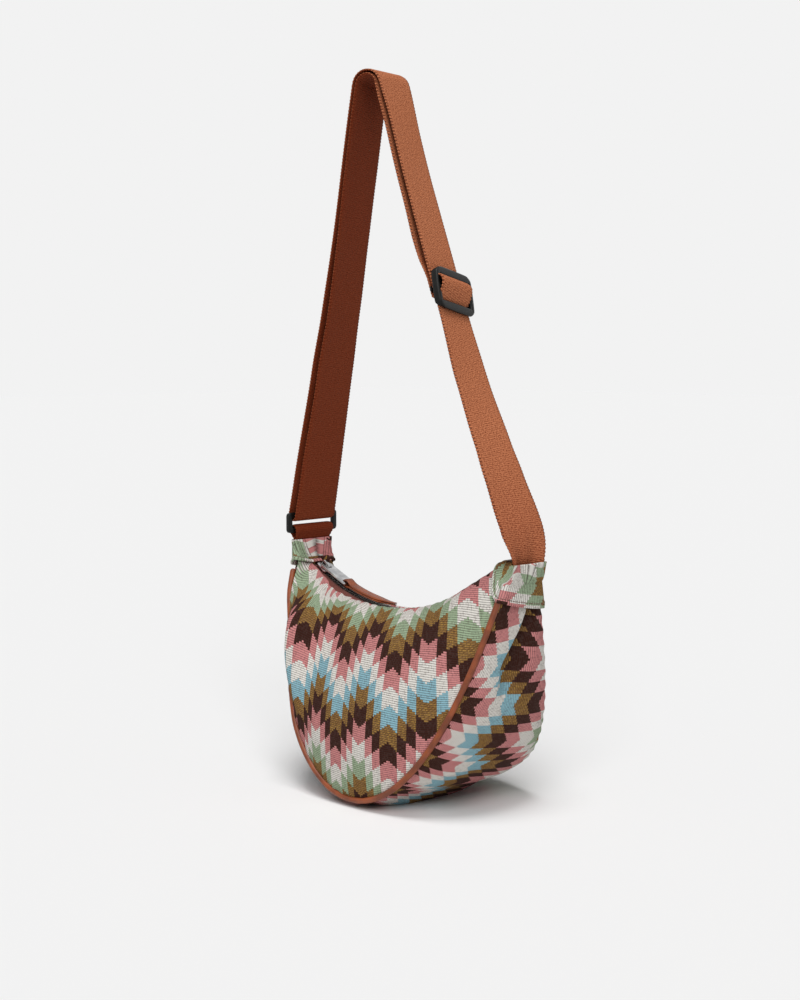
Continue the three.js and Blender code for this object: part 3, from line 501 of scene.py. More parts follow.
def drawn_tight(x, down, at, per_x, per_down, per_x2, per_xd, per_down2):
    """A count of columns or bands at places on the cloth, uneven because it is drawn over the filling."""
    x, down = x / 100, down / 100
    return at + per_x * x + per_down * down + per_x2 * x * x + per_xd * x * down + per_down2 * down * down


face, down = panel_face(-1, PIPED_GAP)
x, z = face[..., 0], face[..., 2].copy()
places = np.stack([HALF_REPEAT * drawn_tight(x, down, *FRONT_COLUMNS),
                   BAND * drawn_tight(x, down, *FRONT_BANDS)], -1)
corner = ease(-x, *CORNER_X) * ease(z, *CORNER_HEIGHTS)
corner = corner * between(CORNER_AT_ZIP, 1, ease(down, 0, CORNER_DOWN))
edge = hill(-x, *EDGE_X) * (1 - ease(down, *EDGE_DOWN))
places[..., 0] += corner * (z - CORNER_Z)
places[..., 1] -= BAND * (CORNER_LAG * corner + EDGE_LAG * edge)
face[..., 2] += np.interp(x, *zip(*EDGE_SAG)) * (1 - ease(down, 0, SAG_DOWN))
belly = LEFT_BELLY * ease(-x, *BELLY_X) * hill(face[..., 2], *BELLY_Z)
belly *= hill(down[:, -1:] - down, *BELLY_TO_SEAM)
stands_off = stuffed(face, down, seam_pucker=0.35, wave=1.6, size=34, seed=3.7) + belly
face = face + face_normals(face) * stands_off[..., None]
front_panel = cloth_piece("front_panel_cloth", face, face_normals(face), CLOTH_T, places)
dress(front_panel, jacquard, "bag", "jacquard", "front_panel")

# Back panel: the same crescent of jacquard, with its zigzag left even. It is sewn to the zip at the top and,
# without piping, straight to the gusset's back edge.
PLAIN_GAP = 1.6
BACK_CLOTH_AT = (5, 30)

face, down = panel_face(1, PLAIN_GAP)
places = np.stack([BACK_CLOTH_AT[0] - face[..., 0], BACK_CLOTH_AT[1] + down], -1)
stands_off = stuffed(face, down, seam_pucker=0.4, wave=1.7, size=36, seed=8.1)
face = face + face_normals(face) * stands_off[..., None]
back_panel = cloth_piece("back_panel_cloth", face, face_normals(face), CLOTH_T, places)
dress(back_panel, jacquard, "bag", "jacquard", "back_panel")

# Gusset: one long strip of the jacquard with its bands turned across, sewn between the panels round both
# sides and under the bag. It bulges with the filling, lies flat on the floor and is pleated below the tabs.
BULGE = [(0, 14), (0.07, 12.5), (0.17, 6), (0.28, 9), (0.4, 12.5), (0.5, 12.5), (0.75, 6.5), (1, 1)]
FRONT_FULLNESS = [(0, 2.2), (0.12, 2.2), (0.4, 5)]
BACK_FULLNESS = 2.2
GUSSET_T = 0.9
GUSSET_SWAY = 1.2
GUSSET_SWAY_FROM = 18
FLOOR_STILL_TO = 30
PRESSED_T = GUSSET_T * 0.6
GUSSET_PUCKER = 0.35
GUSSET_PUCKER_WAVE = 1.6
PLEAT_LINE = [(0, 0.3), (19, 0.21), (27, 0.02), (38, -0.22), (50, -0.41), (57, -0.47), (83, -0.44)]
PLEAT_TUCK = [(19, 10), (40, 6.5), (50, 5.3), (62, 2.5), (84, 0.2)]
FULL_TUCK = 3
CREASE_R = 0.2
PLEAT_SINK = 5
PLEAT_TOP_SINK = 10
PLEAT_TOP = (20, 50)
PLEAT_HOLLOW = (0, 0.15, 0.12, 0.75)
PLEAT_LEVEL_AT = 0.7
GUSSET_STEPS = 240
PLAIN_STEPS = 180
FRONT_STEPS = 45
ROLL_STEPS = 10
TUCK_STEPS = 8
BACK_STEPS = 40
RECESS_START = FRONT_STEPS + ROLL_STEPS + 2 * TUCK_STEPS
RECESS_LAG = 0.7
RECESS_AT = (SEAM_L - 76, SEAM_L - 50)
# Fitted as on the front panel, with counts along the gusset from its base and across it from the front seam.
GUSSET_COLUMNS = (-7.59, 6.76, 0.35, -1.15, -0.55, 0.49)
GUSSET_BANDS = (4.72, 0.51, 10.35, -0.12, 0.41, -3.59)
BACK_FROM = 90
BACK_BAND_RATE = 0.06


def along_keys(keys, at):
    """Values that ease from one key to the next."""
    result = np.full(np.shape(at), float(keys[0][1]))
    for (a, low), (b, high) in zip(keys, keys[1:]):
        result = np.where(at > a, between(low, high, ease(at, a, b)), result)
    return result


def square_to(ways, along):
    """Ways turned square to others."""
    return unit(ways - along * np.sum(ways * along, axis=-1, keepdims=True))


def gusset_point(u, v):
    """Points of the gusset before it is pleated, with v from -1 at the front seam to 1 at the back seam."""
    s = np.abs(u)
    fullness = np.where(np.asarray(v) < 0, along_keys(FRONT_FULLNESS, s), BACK_FULLNESS)
    depth = along_keys(BULGE, s) * (1 - np.abs(v) ** fullness)
    share = (np.asarray(v)[..., None] + 1) / 2
    points = between(seam_point(u, -1), seam_point(u, 1), share) + seam_outward(u) * depth[..., None]
    points[..., 2] = np.maximum(points[..., 2], 0)
    return points


def gusset_section(u):
    """Points across the gusset at u with its pleat, their normals, the ways out and the lengths of cloth."""
    v = np.linspace(-1, 1, PLAIN_STEPS + 1)
    u_all = np.full(len(v), u)
    plain = gusset_point(u_all, v)
    plain_at = lengths_along(plain)
    way = unit(np.gradient(plain, axis=0))
    out = square_to(seam_outward(u_all), way)
    end = (1 - abs(u)) * SEAM_L
    tuck = np.interp(end, *zip(*PLEAT_TUCK))
    folded = min(1, tuck / FULL_TUCK)
    fold = np.interp(np.interp(end, *zip(*PLEAT_LINE)), v, plain_at)
    front = np.linspace(PIPED_GAP, fold, FRONT_STEPS)
    share = np.linspace(0, 1, BACK_STEPS + 1)[1:]
    counts = [ROLL_STEPS, TUCK_STEPS, TUCK_STEPS, TUCK_STEPS]
    steps = np.repeat(np.array([pi * GUSSET_T * folded, tuck, pi * CREASE_R * folded, tuck]) / counts, counts)
    rolled, turned = ((np.arange(count) + 0.5) / count for count in (ROLL_STEPS, TUCK_STEPS))
    heading = pi * folded * np.concatenate([rolled, 0 * turned + 1, 1 - turned, 0 * turned])
    at = np.concatenate([front, fold + np.cumsum(steps * np.cos(heading))])
    at = np.concatenate([at, between(at[-1], plain_at[-1], share)])
    sunk = np.cumsum(steps * np.sin(heading))
    sink = between(PLEAT_TOP_SINK, PLEAT_SINK, ease(end, *PLEAT_TOP)) * folded
    back = sunk[-1] * (1 - ease(share, 0, PLEAT_LEVEL_AT)) + sink * hill(share, *PLEAT_HOLLOW)
    sunk = np.concatenate([0 * front, sunk, back])[:, None]
    heading = np.concatenate([0 * front, heading, 0 * share])[:, None]

    def on(values):
        return np.stack([np.interp(at, plain_at, column) for column in values.T], -1)

    way, out = unit(on(way)), unit(on(out))
    points = on(plain) - out * sunk
    return points, way * np.sin(heading) + out * np.cos(heading), out, front[0] + lengths_along(points)


u = np.linspace(-1, 1, GUSSET_STEPS + 1)
face, normals, out, wide = (np.array(values) for values in zip(*(gusset_section(one) for one in u)))
along = np.abs(u)[:, None] * SEAM_L + 0 * wide
columns = drawn_tight(along, wide, *GUSSET_COLUMNS)
middle_columns = drawn_tight(0 * along, wide, *GUSSET_COLUMNS)
columns = np.where(u[:, None] < 0, 2 * middle_columns - columns, columns)
bands = drawn_tight(along, np.minimum(wide, BACK_FROM), *GUSSET_BANDS)
bands += np.maximum(wide - BACK_FROM, 0) * BACK_BAND_RATE
bands[:, RECESS_START:] -= RECESS_LAG * ease(along[:, RECESS_START:], *RECESS_AT)
to_seam = np.minimum(wide, wide[:, -1:] - wide)
sway = GUSSET_SWAY * ripple(face, size=30, seed=1.3)
sway = sway * ease(to_seam, 0, GUSSET_SWAY_FROM) * ease(face[..., 2], 0, FLOOR_STILL_TO)
pucker = puckers(GUSSET_PUCKER, to_seam, SEAM_PUCKER_REACH, u[:, None] * SEAM_L, GUSSET_PUCKER_WAVE)
face = face + out * (pucker + sway)[..., None]
inner = face - normals * GUSSET_T
face[..., 2] = np.maximum(face[..., 2], 0)
inner[..., 2] = np.maximum(inner[..., 2], PRESSED_T)
places = np.stack([HALF_REPEAT * columns, BAND * bands], -1)
gusset = cloth_piece("gusset_cloth", face, (face - inner) / GUSSET_T, GUSSET_T, places)
dress(gusset, jacquard, "bag", "jacquard", "gusset")

# Piping: a strip of tan leather folded over a round cord, caught in the front panel's lower seam. It stands
# proud of the seam and stops at a rounded end below each end tab.
PIPING_R = 2.1
PIPING_LEFT_END = 8
PIPING_RIGHT_END = 10.5
PIPING_TUCK = 2.8
PIPING_TUCK_WAY = (0.75, 0.65, 0)
PIPING_TUCK_X = (60, 90)
PIPING_TUCK_Z = (30, 60, 112, 142)
PIPING_UNEVEN = 0.03
PIPING_STEPS = 260

leather, start, link = new_finish("tan_leather", Coat_Roughness=0.3, Specular_IOR_Level=0.45)
grain = start.node("TexVoronoi", {"feature": "DISTANCE_TO_EDGE"},
                   {"Vector": start.node("TexCoord").other("Object"), "Scale": 1400.0})
mottle = mottling(start, 90.0, 5.0)
link(Base_Color=mottle.soft_step(0.3, 0.75).mix(paint(108, 50, 22), paint(150, 74, 34)),
     Roughness=mottle * 0.2 + 0.34,
     Normal=relief(start, strength=0.25, depth=0.1, height=grain.soft_step(0.0, 0.2)))


def circle(turns):
    return np.stack([np.cos(turns), np.sin(turns)], -1)


def full_turn(steps):
    return np.linspace(0, 2 * pi, steps, endpoint=False)


def sweep_round(path, radii, sides):
    """Round loops along a path of points."""
    ways = unit(np.gradient(path, axis=0))
    loops = []
    side = unit(np.cross(ways[0], (0.3, 0.4, 0.8)))
    for at, way, radius in zip(path, ways, radii):
        side = square_to(side, way)
        loops.append(at + radius * circle(full_turn(sides)) @ np.array([side, np.cross(way, side)]))
    return np.array(loops)


closer_at_ends = (np.sin(np.linspace(-1, 1, PIPING_STEPS + 1) * pi / 2) + 1) / 2
shares = between(-from_end(PIPING_LEFT_END), from_end(PIPING_RIGHT_END), closer_at_ends)
path = seam_point(shares, -1)
tucked = PIPING_TUCK * ease(-path[:, 0], *PIPING_TUCK_X) * hill(path[:, 2], *PIPING_TUCK_Z)
path += np.outer(tucked, PIPING_TUCK_WAY)
ends = np.minimum(shares - shares[0], shares[-1] - shares) * SEAM_L
radii = PIPING_R * np.sqrt(np.clip(1 - (1 - np.minimum(ends, PIPING_R) / PIPING_R) ** 2, 0.01, 1))
radii *= 1 + PIPING_UNEVEN * ripple(path, size=9, seed=5.0)
dress(loft("piping", sweep_round(path, radii, sides=20)), leather, "bag", "leather", "front_piping")

# Zip tapes: two woven red-brown ribbons sewn under the panels' top edges, so that only the strips beside the
# teeth are seen.
TAPE_T = 0.8
TAPE_LAP = 6
TAPE_LAP_SHARE = 0.1
BESIDE_EDGE = 0.11
TAPE_TOP = -(CLOTH_T + 0.3)
TAPE_LOW = TAPE_TOP - TAPE_T
TAPE_MIDDLE = (TAPE_TOP + TAPE_LOW) / 2
TAPE_START = ZIP_LEFT + 1.7 / ZIP_R
TAPE_STOP = ZIP_RIGHT - 1.7 / ZIP_R
TAPE_STEPS = 90
SLOT_HALF_W = 0.9
TAPE_EDGE = 0.2
TAPE_SEEN_W = ZIP_HALF_GAP - SLOT_HALF_W
TAPE_SWELL = 1.1
TAPE_RIB = 1.1
TAPE_THREAD = 0.9

zip_tape, start, link = new_finish("zip_tape", Roughness=0.85, Sheen_Weight=0.1)
across, along = cloth_ways(start)
rib = start.math("SINE", along * (2 * pi / TAPE_RIB))
rib = (rib + start.math("SINE", across * (2 * pi / TAPE_THREAD))) * 0.5
speck = mottling(start, 800.0)
link(Base_Color=(rib * 0.35 + speck * 0.4 + 0.2).mix(paint(78, 32, 26), paint(132, 66, 52)),
     Normal=relief(start, strength=0.5, depth=0.2, height=rib))

for side, name in [(-1, "front"), (1, "back")]:
    loops, places = [], []
    for angle in np.linspace(TAPE_START, TAPE_STOP, TAPE_STEPS):
        slope = min(angle, ZIP_ARC_END)
        u = 2 * (angle - ZIP_LEFT) / (ZIP_RIGHT - ZIP_LEFT) - 1
        (edge, beside), length = along_curve(panel_section(u, side), [0, BESIDE_EDGE])
        down = unit(beside - edge)
        out = unit(np.cross((cos(slope), 0, sin(slope)), down)) * side
        lap = min(TAPE_LAP, TAPE_LAP_SHARE * length)
        loops.append([
            zip_point(angle, side * SLOT_HALF_W, TAPE_MIDDLE + TAPE_SWELL),
            zip_point(angle, side * (SLOT_HALF_W + TAPE_EDGE), TAPE_TOP + TAPE_SWELL),
            edge + out * (TAPE_TOP + TAPE_SWELL),
            edge + down * lap + out * TAPE_TOP,
            edge + down * (lap + TAPE_EDGE) + out * TAPE_MIDDLE,
            edge + down * lap + out * TAPE_LOW,
            edge + out * (TAPE_LOW + TAPE_SWELL),
            zip_point(angle, side * (SLOT_HALF_W + TAPE_EDGE), TAPE_LOW + TAPE_SWELL)])
        lapped = TAPE_SEEN_W + lap
        ways = (0, TAPE_EDGE, TAPE_SEEN_W, lapped, lapped + TAPE_EDGE, lapped, TAPE_SEEN_W, TAPE_EDGE)
        places.append([(way, angle * ZIP_R) for way in ways])
    tape = loft(f"zip_ribbon_{name}", loops, np.array(places, float))
    dress(tape, zip_tape, "bag", "zip_tape", f"zip_tape_{name}")

# Zip teeth: dark metal teeth pinched on both tapes in turn, so that they mesh in the middle, with a stop at
# each end of the chain.
TEETH_LOW = TAPE_TOP + 0.3
TEETH_H = 1.8
TEETH_MIDDLE = TEETH_LOW + TEETH_H / 2
TEETH_HALF_W = 2.8
TOOTH_HALF_L = 0.7
TOOTH_CLEAR = 0.62
TOOTH_PITCH = 2.2
STOP_L = 2.5
CHAIN_START = TAPE_START + (STOP_L + 0.3) / ZIP_R
CHAIN_STOP = TAPE_STOP - (STOP_L + 0.3) / ZIP_R
TOOTH_COUNT = int((CHAIN_STOP - CHAIN_START) * ZIP_R / TOOTH_PITCH)

zip_metal, start, link = new_finish("zip_metal", Metallic=0.9)
wear = mottling(start, 700.0, 3.0)
link(Base_Color=wear.soft_step(0.35, 0.75).mix(paint(52, 46, 44), paint(112, 104, 98)),
     Roughness=wear * 0.3 + 0.25)


def eased_block(low, high, easing):
    """Points and faces of a block between two corners, with rounded edges."""
    shape = bmesh.new()
    bmesh.ops.create_cube(shape, size=1)
    low, high = np.array(low, float), np.array(high, float)
    for point in shape.verts:
        point.co = (low + high) / 2 + np.array(point.co) * (high - low)
    bmesh.ops.bevel(shape, geom=shape.edges[:], offset=easing, segments=2, affect="EDGES", profile=0.6)
    shape.verts.index_update()
    points = np.array([p.co for p in shape.verts])
    faces = [[p.index for p in f.verts] for f in shape.faces]
    shape.free()
    return points, faces


def repeat(name, points, faces, places):
    """One mesh of a shape set at many places, each a middle with its three axes."""
    all_points = [middle + points @ np.asarray(axes) for middle, axes in places]
    all_faces = [[len(points) * k + one for one in f] for k in range(len(places)) for f in faces]
    return new_piece(name, np.concatenate(all_points), all_faces)


def on_chain(angle):
    """A place in the middle of the chain, with its axes along, across and out of the zip."""
    slope = min(angle, ZIP_ARC_END)
    axes = [(cos(slope), 0, sin(slope)), (0, 1, 0), (-sin(slope), 0, cos(slope))]
    return zip_point(angle, 0, TEETH_MIDDLE), axes


points, faces = eased_block(
    (-TOOTH_HALF_L, TOOTH_CLEAR, -TEETH_H / 2), (TOOTH_HALF_L, TEETH_HALF_W, TEETH_H / 2), easing=0.28)
mirrored = points * (1, -1, 1), [f[::-1] for f in faces]
for name, tooth, first in [("front", mirrored, 1.0), ("back", (points, faces), 0.5)]:
    places = [on_chain(CHAIN_START + (k + first) * TOOTH_PITCH / ZIP_R) for k in range(TOOTH_COUNT)]
    teeth = repeat(f"zip_chain_{name}", *tooth, places)
    dress(teeth, zip_metal, "bag", "zip_metal", f"zip_teeth_{name}")

corner = np.array([STOP_L / 2, TEETH_HALF_W, TEETH_H / 2])
points, faces = eased_block(-corner, corner, easing=0.5)
for name, angle in [("top", TAPE_START + STOP_L / 2 / ZIP_R), ("bottom", TAPE_STOP - STOP_L / 2 / ZIP_R)]:
    stop = repeat(f"zip_{name}_end_stop", points, faces, [on_chain(angle)])
    dress(stop, zip_metal, "bag", "zip_metal", f"zip_{name}_stop")

# Slider and puller plate: cast in bright metal. The slider rides on the teeth, and the puller's first bar
# turns under the slider's bridge.
silver, start, link = new_finish("silver", Metallic=1.0)
rub = mottling(start, 130.0, 3.0)
link(Base_Color=rub.soft_step(0.3, 0.75).mix(paint(164, 164, 166), paint(216, 216, 215)),
     Roughness=rub * 0.14 + 0.16)


def eased_copy(name, node, easing):
    """The shape of a rigid solid with its edges rounded."""
    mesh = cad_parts[node].data.copy()
    mesh.name = name
    mesh.materials.clear()
    shape = bmesh.new()
    shape.from_mesh(mesh)
    bmesh.ops.remove_doubles(shape, verts=shape.verts[:], dist=1e-6)
    bmesh.ops.dissolve_limit(shape, angle_limit=radians(1), verts=shape.verts[:], edges=shape.edges[:])
    shape.to_mesh(mesh)
    shape.free()
    mesh.polygons.foreach_set("use_smooth", [True] * len(mesh.polygons))
    piece = placed(name, mesh)
    rounding = piece.modifiers.new("rounded edges", "BEVEL")
    rounding.width = easing * MM
    rounding.segments = 3
    rounding.limit_method = "ANGLE"
    rounding.angle_limit = radians(35)
    rounding.harden_normals = True
    return piece


dress(eased_copy("slider_body", "zip_slider", easing=0.4), silver, "slider", "silver", "zip_slider")
dress(eased_copy("puller_plate", "zip_puller", easing=0.35), silver, "puller", "silver", "zip_puller")

# Pull tab: a strip of the piping's leather folded round the puller's last bar, its two layers glued together,
# cut to a blunt tip.
PLAY = 0.3
SLIDER_ANGLE = ZIP_LEFT + 9 / ZIP_R
SLIDER_PLATE_T = 1.5
PULLER_L = 29
PULLER_W = 10
PULLER_T = 1.6
PULLER_BAR = 2.4
PULLER_EYE_W = PULLER_W - 3.4
PULLER_LIFT = radians(8)
HINGE_Z = PLAY + SLIDER_PLATE_T + hypot(PULLER_T, PULLER_T) / 2 + PLAY
LAST_BAR_X = PULLER_L - PULLER_T / 2 - PULLER_BAR / 2
LEATHER_T = 1.3
LEATHER_EDGE = 0.35
GLUE_T = 0.06
TAB_LOOP_R = hypot(PULLER_BAR, PULLER_T) / 2 + PLAY + LEATHER_T / 2
PULL_TAB_L = 50
PULL_TAB_W = 8.2
PULL_TAB_TIP_L = 20
PULL_TAB_TIP_W = 3
PULL_TAB_TIP_T = 0.6
PULL_TAB_MEET = (TAB_LOOP_R + LEATHER_T / 2) * 2.5
PULL_TAB_LIFT = radians(2)


def hinged(place, at, lift):
    """A place on a piece that is lifted about a bar across the zip."""
    return place @ Matrix.Translation(at) @ Matrix.Rotation(-lift, 4, "Y")


slider_place = hinged(Matrix(), zip_point(SLIDER_ANGLE, 0), SLIDER_ANGLE)
puller_place = hinged(slider_place, (0, 0, HINGE_Z), PULLER_LIFT)
pull_tab_place = hinged(puller_place, (LAST_BAR_X, 0, 0), PULL_TAB_LIFT)

far = np.linspace(PULL_TAB_L, PULL_TAB_MEET, 30)
near = np.linspace(PULL_TAB_MEET, 0, 10)[1:-1]
layer = LEATHER_T / 2 + GLUE_T
swell = layer + (TAB_LOOP_R - layer) * ease(PULL_TAB_MEET - near, 0, PULL_TAB_MEET)
upper = np.concatenate([np.stack([far, layer + far * 0], 1), np.stack([near, swell], 1)])
round_bar = TAB_LOOP_R * circle(np.linspace(pi / 2, 3 * pi / 2, 13))
path = np.concatenate([upper, round_bar, (upper * (1, -1))[::-1]])
loops = []
for (x, z), (wx, wz) in zip(path, unit(np.gradient(path, axis=0))):
    to_tip = ease(x, PULL_TAB_L - PULL_TAB_TIP_L, PULL_TAB_L)
    wide = between(PULL_TAB_W, PULL_TAB_TIP_W, to_tip)
    wide = between(PULLER_EYE_W, wide, ease(x, TAB_LOOP_R, PULL_TAB_MEET)) / 2
    thin = LEATHER_T / 2 * between(1, PULL_TAB_TIP_T, to_tip)
    flank = wide - LEATHER_EDGE
    half = [(wide, 0), (flank, thin), (wide * 0.4, thin), (-wide * 0.4, thin), (-flank, thin)]
    section = half + [(-y, -n) for y, n in half]
    bend = max(0, x) ** 2 / (2 * ZIP_R)
    loops.append([pull_tab_place @ Vector((x - wz * n, y, z + bend + wx * n)) for y, n in section])
dress(loft("leather_pull", loops), leather, "pull_tab", "leather", "leather_pull_tab")

# End tabs: caps of the same jacquard folded over both ends of the bag, with a turned and stitched hem and a
# thicker patch over the gusset. Each is drawn together round the foot of the webbing and sewn to it.
TAB_TOP_Z = 175
TAB_EASE = 0.9
TAB_T = 1.1
TAB_X = 103
MOUTH_EASE = 0.3
COVER_ROWS = 14
ROOF_ROWS = 18
PATCH_FROM = 309.5
PATCH_TO = 410.5
PATCH_STEP = 2.5
PATCH_RISE = 1.2
GATHER = 0.3
GATHERS = 13
GATHER_FROM = 8
HEM_ROLL = 0.5
HEM_ROLL_AT = 1.2
HEM_GROOVE = 0.35
HEM_GROOVE_AT = 3.4
HEM_GROOVE_R = 0.7
RING_X = 109
STRAP_W = 40
WEB_T = 1.5
FOOT_W = 31
CUP = radians(35)
CUP_R = FOOT_W / 2 / CUP
CUP_HALF_W = CUP_R * sin(CUP) + WEB_T / 2
CUP_RISE = CUP_R * (1 - cos(CUP))
LOOP_FOOT_W = 34
LOOP_FOOT_HALF_T = WEB_T + 0.15
RING_SPANS = {"front": 115, "gusset": 100, "back": 115, "zip": 30}
RING_PARTS = {"front": 30, "gusset": 40, "back": 30, "zip": 10}


def bag_ring(u_at):
    """Angles and points of a closed ring round the bag's end, from the zip's front edge over the front."""
    degrees, points, turned = [], [], 180 + RING_SPANS["zip"] / 2
    for part, count in RING_PARTS.items():
        for share in np.arange(count) / count:
            u = u_at(turned)
            if part == "front":
                point = along_curve(panel_section(u, -1), share)[0]
            elif part == "gusset":
                point = gusset_point(np.array(u), np.array(2 * share - 1))
            elif part == "back":
                point = along_curve(panel_section(u, 1), 1 - share)[0]
            else:
                point = zip_point(zip_angle(u), between(ZIP_HALF_GAP, -ZIP_HALF_GAP, share))
            degrees.append(turned)
            points.append(point)
            turned += RING_SPANS[part] / count
    return np.array(degrees), np.array(points)


def resampled(path, step):
    """A path's points about a step apart. Only its first three columns measure length."""
    path = np.asarray(path, float)
    lengths = lengths_along(path[:, :3])
    even = np.linspace(0, lengths[-1], int(lengths[-1] / step) + 2)
    return np.stack([np.interp(even, lengths, column) for column in path.T], -1)


def heights_up(face):
    """Lengths up each column of a grid of points."""
    return np.cumsum(np.linalg.norm(np.diff(face, axis=1, prepend=face[:, :1]), axis=-1), 1)


def rim_at(rims, turned):
    """A seam's u at a tab's hem, at an angle round the bag's end."""
    return from_end(np.interp(turned, *zip(*rims)))


def end_tab(name, end, rims, hole, outer, inner, cloth_at, cloth_rate, patch_cloth):
    """A cap from its hem, at lengths from the seams' ends by the angle round, to its mouth at the webbing."""
    rows = []
    for share in np.arange(COVER_ROWS + 1) / COVER_ROWS:
        degrees, points = bag_ring(lambda turned: end * between(rim_at(rims, turned), 1, share))
        rows.append(points)
    angles = np.radians(degrees)
    reach, power = (np.where(np.cos(angles) > 0, *sides) for sides in zip(outer, inner))
    squared = np.sign(circle(angles)) * np.abs(circle(angles)) ** (2 / power)[:, None]
    mouth = np.stack([end * (hole[0] + (reach + MOUTH_EASE) * squared[:, 0]),
                      (hole[1] + MOUTH_EASE) * squared[:, 1], np.full(len(angles), TAB_TOP_Z)], -1)
    middle = np.array([end * END_X, 0, END_Z])
    body = np.array(rows).transpose(1, 0, 2)
    low, high, step = PATCH_FROM, PATCH_TO, PATCH_STEP
    patch = PATCH_RISE * hill(degrees, low - step, low + step, high - step, high + step)
    lining = body + face_normals(body, middle, True) * (TAB_EASE + patch)[:, None, None]
    roof = []
    for share in np.arange(1, ROOF_ROWS + 1) / ROOF_ROWS:
        drawn = between(lining[:, -1], mouth, sqrt(share))
        drawn[:, 2] = between(lining[:, -1, 2], TAB_TOP_Z, share)
        roof.append(drawn)
    lining = np.concatenate([lining, np.array(roof).transpose(1, 0, 2)], 1)
    face = lining + face_normals(lining, middle, True) * TAB_T
    up = heights_up(face)
    gather = GATHER * ease(up, GATHER_FROM, up[:, -1:]) * np.sin(angles * GATHERS + 2)[:, None]
    hem = HEM_ROLL * np.exp(-((up - HEM_ROLL_AT) / HEM_ROLL_AT) ** 2)
    hem -= HEM_GROOVE * np.exp(-((up - HEM_GROOVE_AT) / HEM_GROOVE_R) ** 2)
    face = face + face_normals(face, middle, True) * (hem + gather)[..., None]
    round_it = lengths_along(np.append(face[:, 0], face[:1, 0], axis=0))
    tall = np.append(up, up[:1], axis=0)
    on_patch = np.append((degrees > low) & (degrees < high), False)
    on_it = round_it - round_it[np.argmax(on_patch)]
    bands = np.where(on_patch, patch_cloth[0] + on_it * patch_cloth[1], cloth_at[1] + round_it * cloth_rate)
    places = np.stack([cloth_at[0] + tall, bands[:, None] + tall * 0], -1)
    return cloth_piece(name, face, face_normals(face, middle, True), TAB_T, places, True), face


LEFT_RIM = [(195, 4), (225, 1.5), (306, 1.5), (311, 5), (360, 9), (408, 9), (414, 6), (470, 4), (555, 4)]
RIGHT_RIM = [(195, 10.9), (235, 5), (270, 4), (296, 9.5), (308, 12.5), (313, 12.5), (322, 13.4), (338, 15),
             (361, 16.6), (383, 18.1), (408, 19), (414, 12), (470, 9), (525, 9), (555, 10.9)]
loop_side = (LOOP_FOOT_HALF_T + PLAY, 8)
left_tab, left_face = end_tab(
    "left_tab_cloth", -1, LEFT_RIM, hole=(RING_X, LOOP_FOOT_W / 2 + PLAY), outer=loop_side, inner=loop_side,
    cloth_at=(45, 24), cloth_rate=0.5, patch_cloth=(24, 0.6))
right_tab, right_face = end_tab(
    "right_tab_cloth", 1, RIGHT_RIM, hole=(TAB_X + CUP_RISE, CUP_HALF_W + PLAY), outer=(WEB_T + PLAY, 5),
    inner=(CUP_RISE + WEB_T / 2, 2), cloth_at=(40, 46), cloth_rate=-0.55, patch_cloth=(9, 0.68))
dress(left_tab, jacquard, "bag", "jacquard", "left_end_tab")
dress(right_tab, jacquard, "bag", "jacquard", "right_end_tab")

# Hem stitches: a row of long stitches in brown thread, sewn by machine through each tab's turned hem and
# sunk a little into the cloth.
HEM_STITCH_AT = 3.3
STITCH_PITCH = 2.7
STITCH_L = 1.9
STITCH_R = 0.28
STITCH_SUNK = 0.2

sewing_thread, start, link = new_finish("sewing_thread", Roughness=0.8)
link(Base_Color=mottling(start, 1500.0).mix(paint(66, 44, 38), paint(128, 98, 86)))

points, faces = eased_block(
    (-STITCH_L / 2, -STITCH_R, -STITCH_SUNK), (STITCH_L / 2, STITCH_R, STITCH_R), easing=0.2)
for name, face, end in [("left", left_face, -1), ("right", right_face, 1)]:
    line = []
    normals = face_normals(face, np.array([end * END_X, 0, END_Z]), True)
    for column, up, normal in zip(face, heights_up(face), normals):
        row = np.interp(HEM_STITCH_AT, up, np.arange(len(up)))
        k = int(row)
        line.append(np.append(between(column[k], column[k + 1], row % 1), normal[k]))
    even = resampled(line + line[:1], STITCH_PITCH)
    places = []
    for way, at in zip(unit(np.gradient(even[:, :3], axis=0)), even):
        out = square_to(unit(at[3:]), way)
        places.append((at[:3], [way, np.cross(out, way), out]))
    dress(repeat(f"{name}_hem_stitches", points, faces, places), sewing_thread, "bag", "webbing")

# Webbing loop: a short length of 40 mm tan webbing, woven in close twill with finely toothed edges. It is
# doubled over the ring's lower bar and sewn into the left tab.
RING_Z = 188
RING_H = 15
RING_BAR = 4
RING_T = 3.2
RING_LOW_BAR_Z = RING_Z - (RING_H - RING_BAR) / 2
TURN_R = hypot(RING_BAR, RING_T) / 2 + PLAY + WEB_T / 2
WEB_FACETS = 16
WEB_EDGE_FROM = 0.94
WEB_EDGE_THIN = 0.55
WEB_EDGE_OUT = 1.012
DRAPE_WAVES = 2.5
WEB_TOOTH = 2.4
TOOTH_DEPTH = 0.3
TWILL_RUN = 9
TWILL_PITCH = 1.5
# Places across the faces that get painted shade are moved on by this much, which marks them.
SHADE_MARK = 100
# Length of webbing from a sewn foot that is painted darker as shade, and a start for strips that lie past it.
FOOT_SHADE_L = 110.0
PAST_FOOT_SHADE = 240

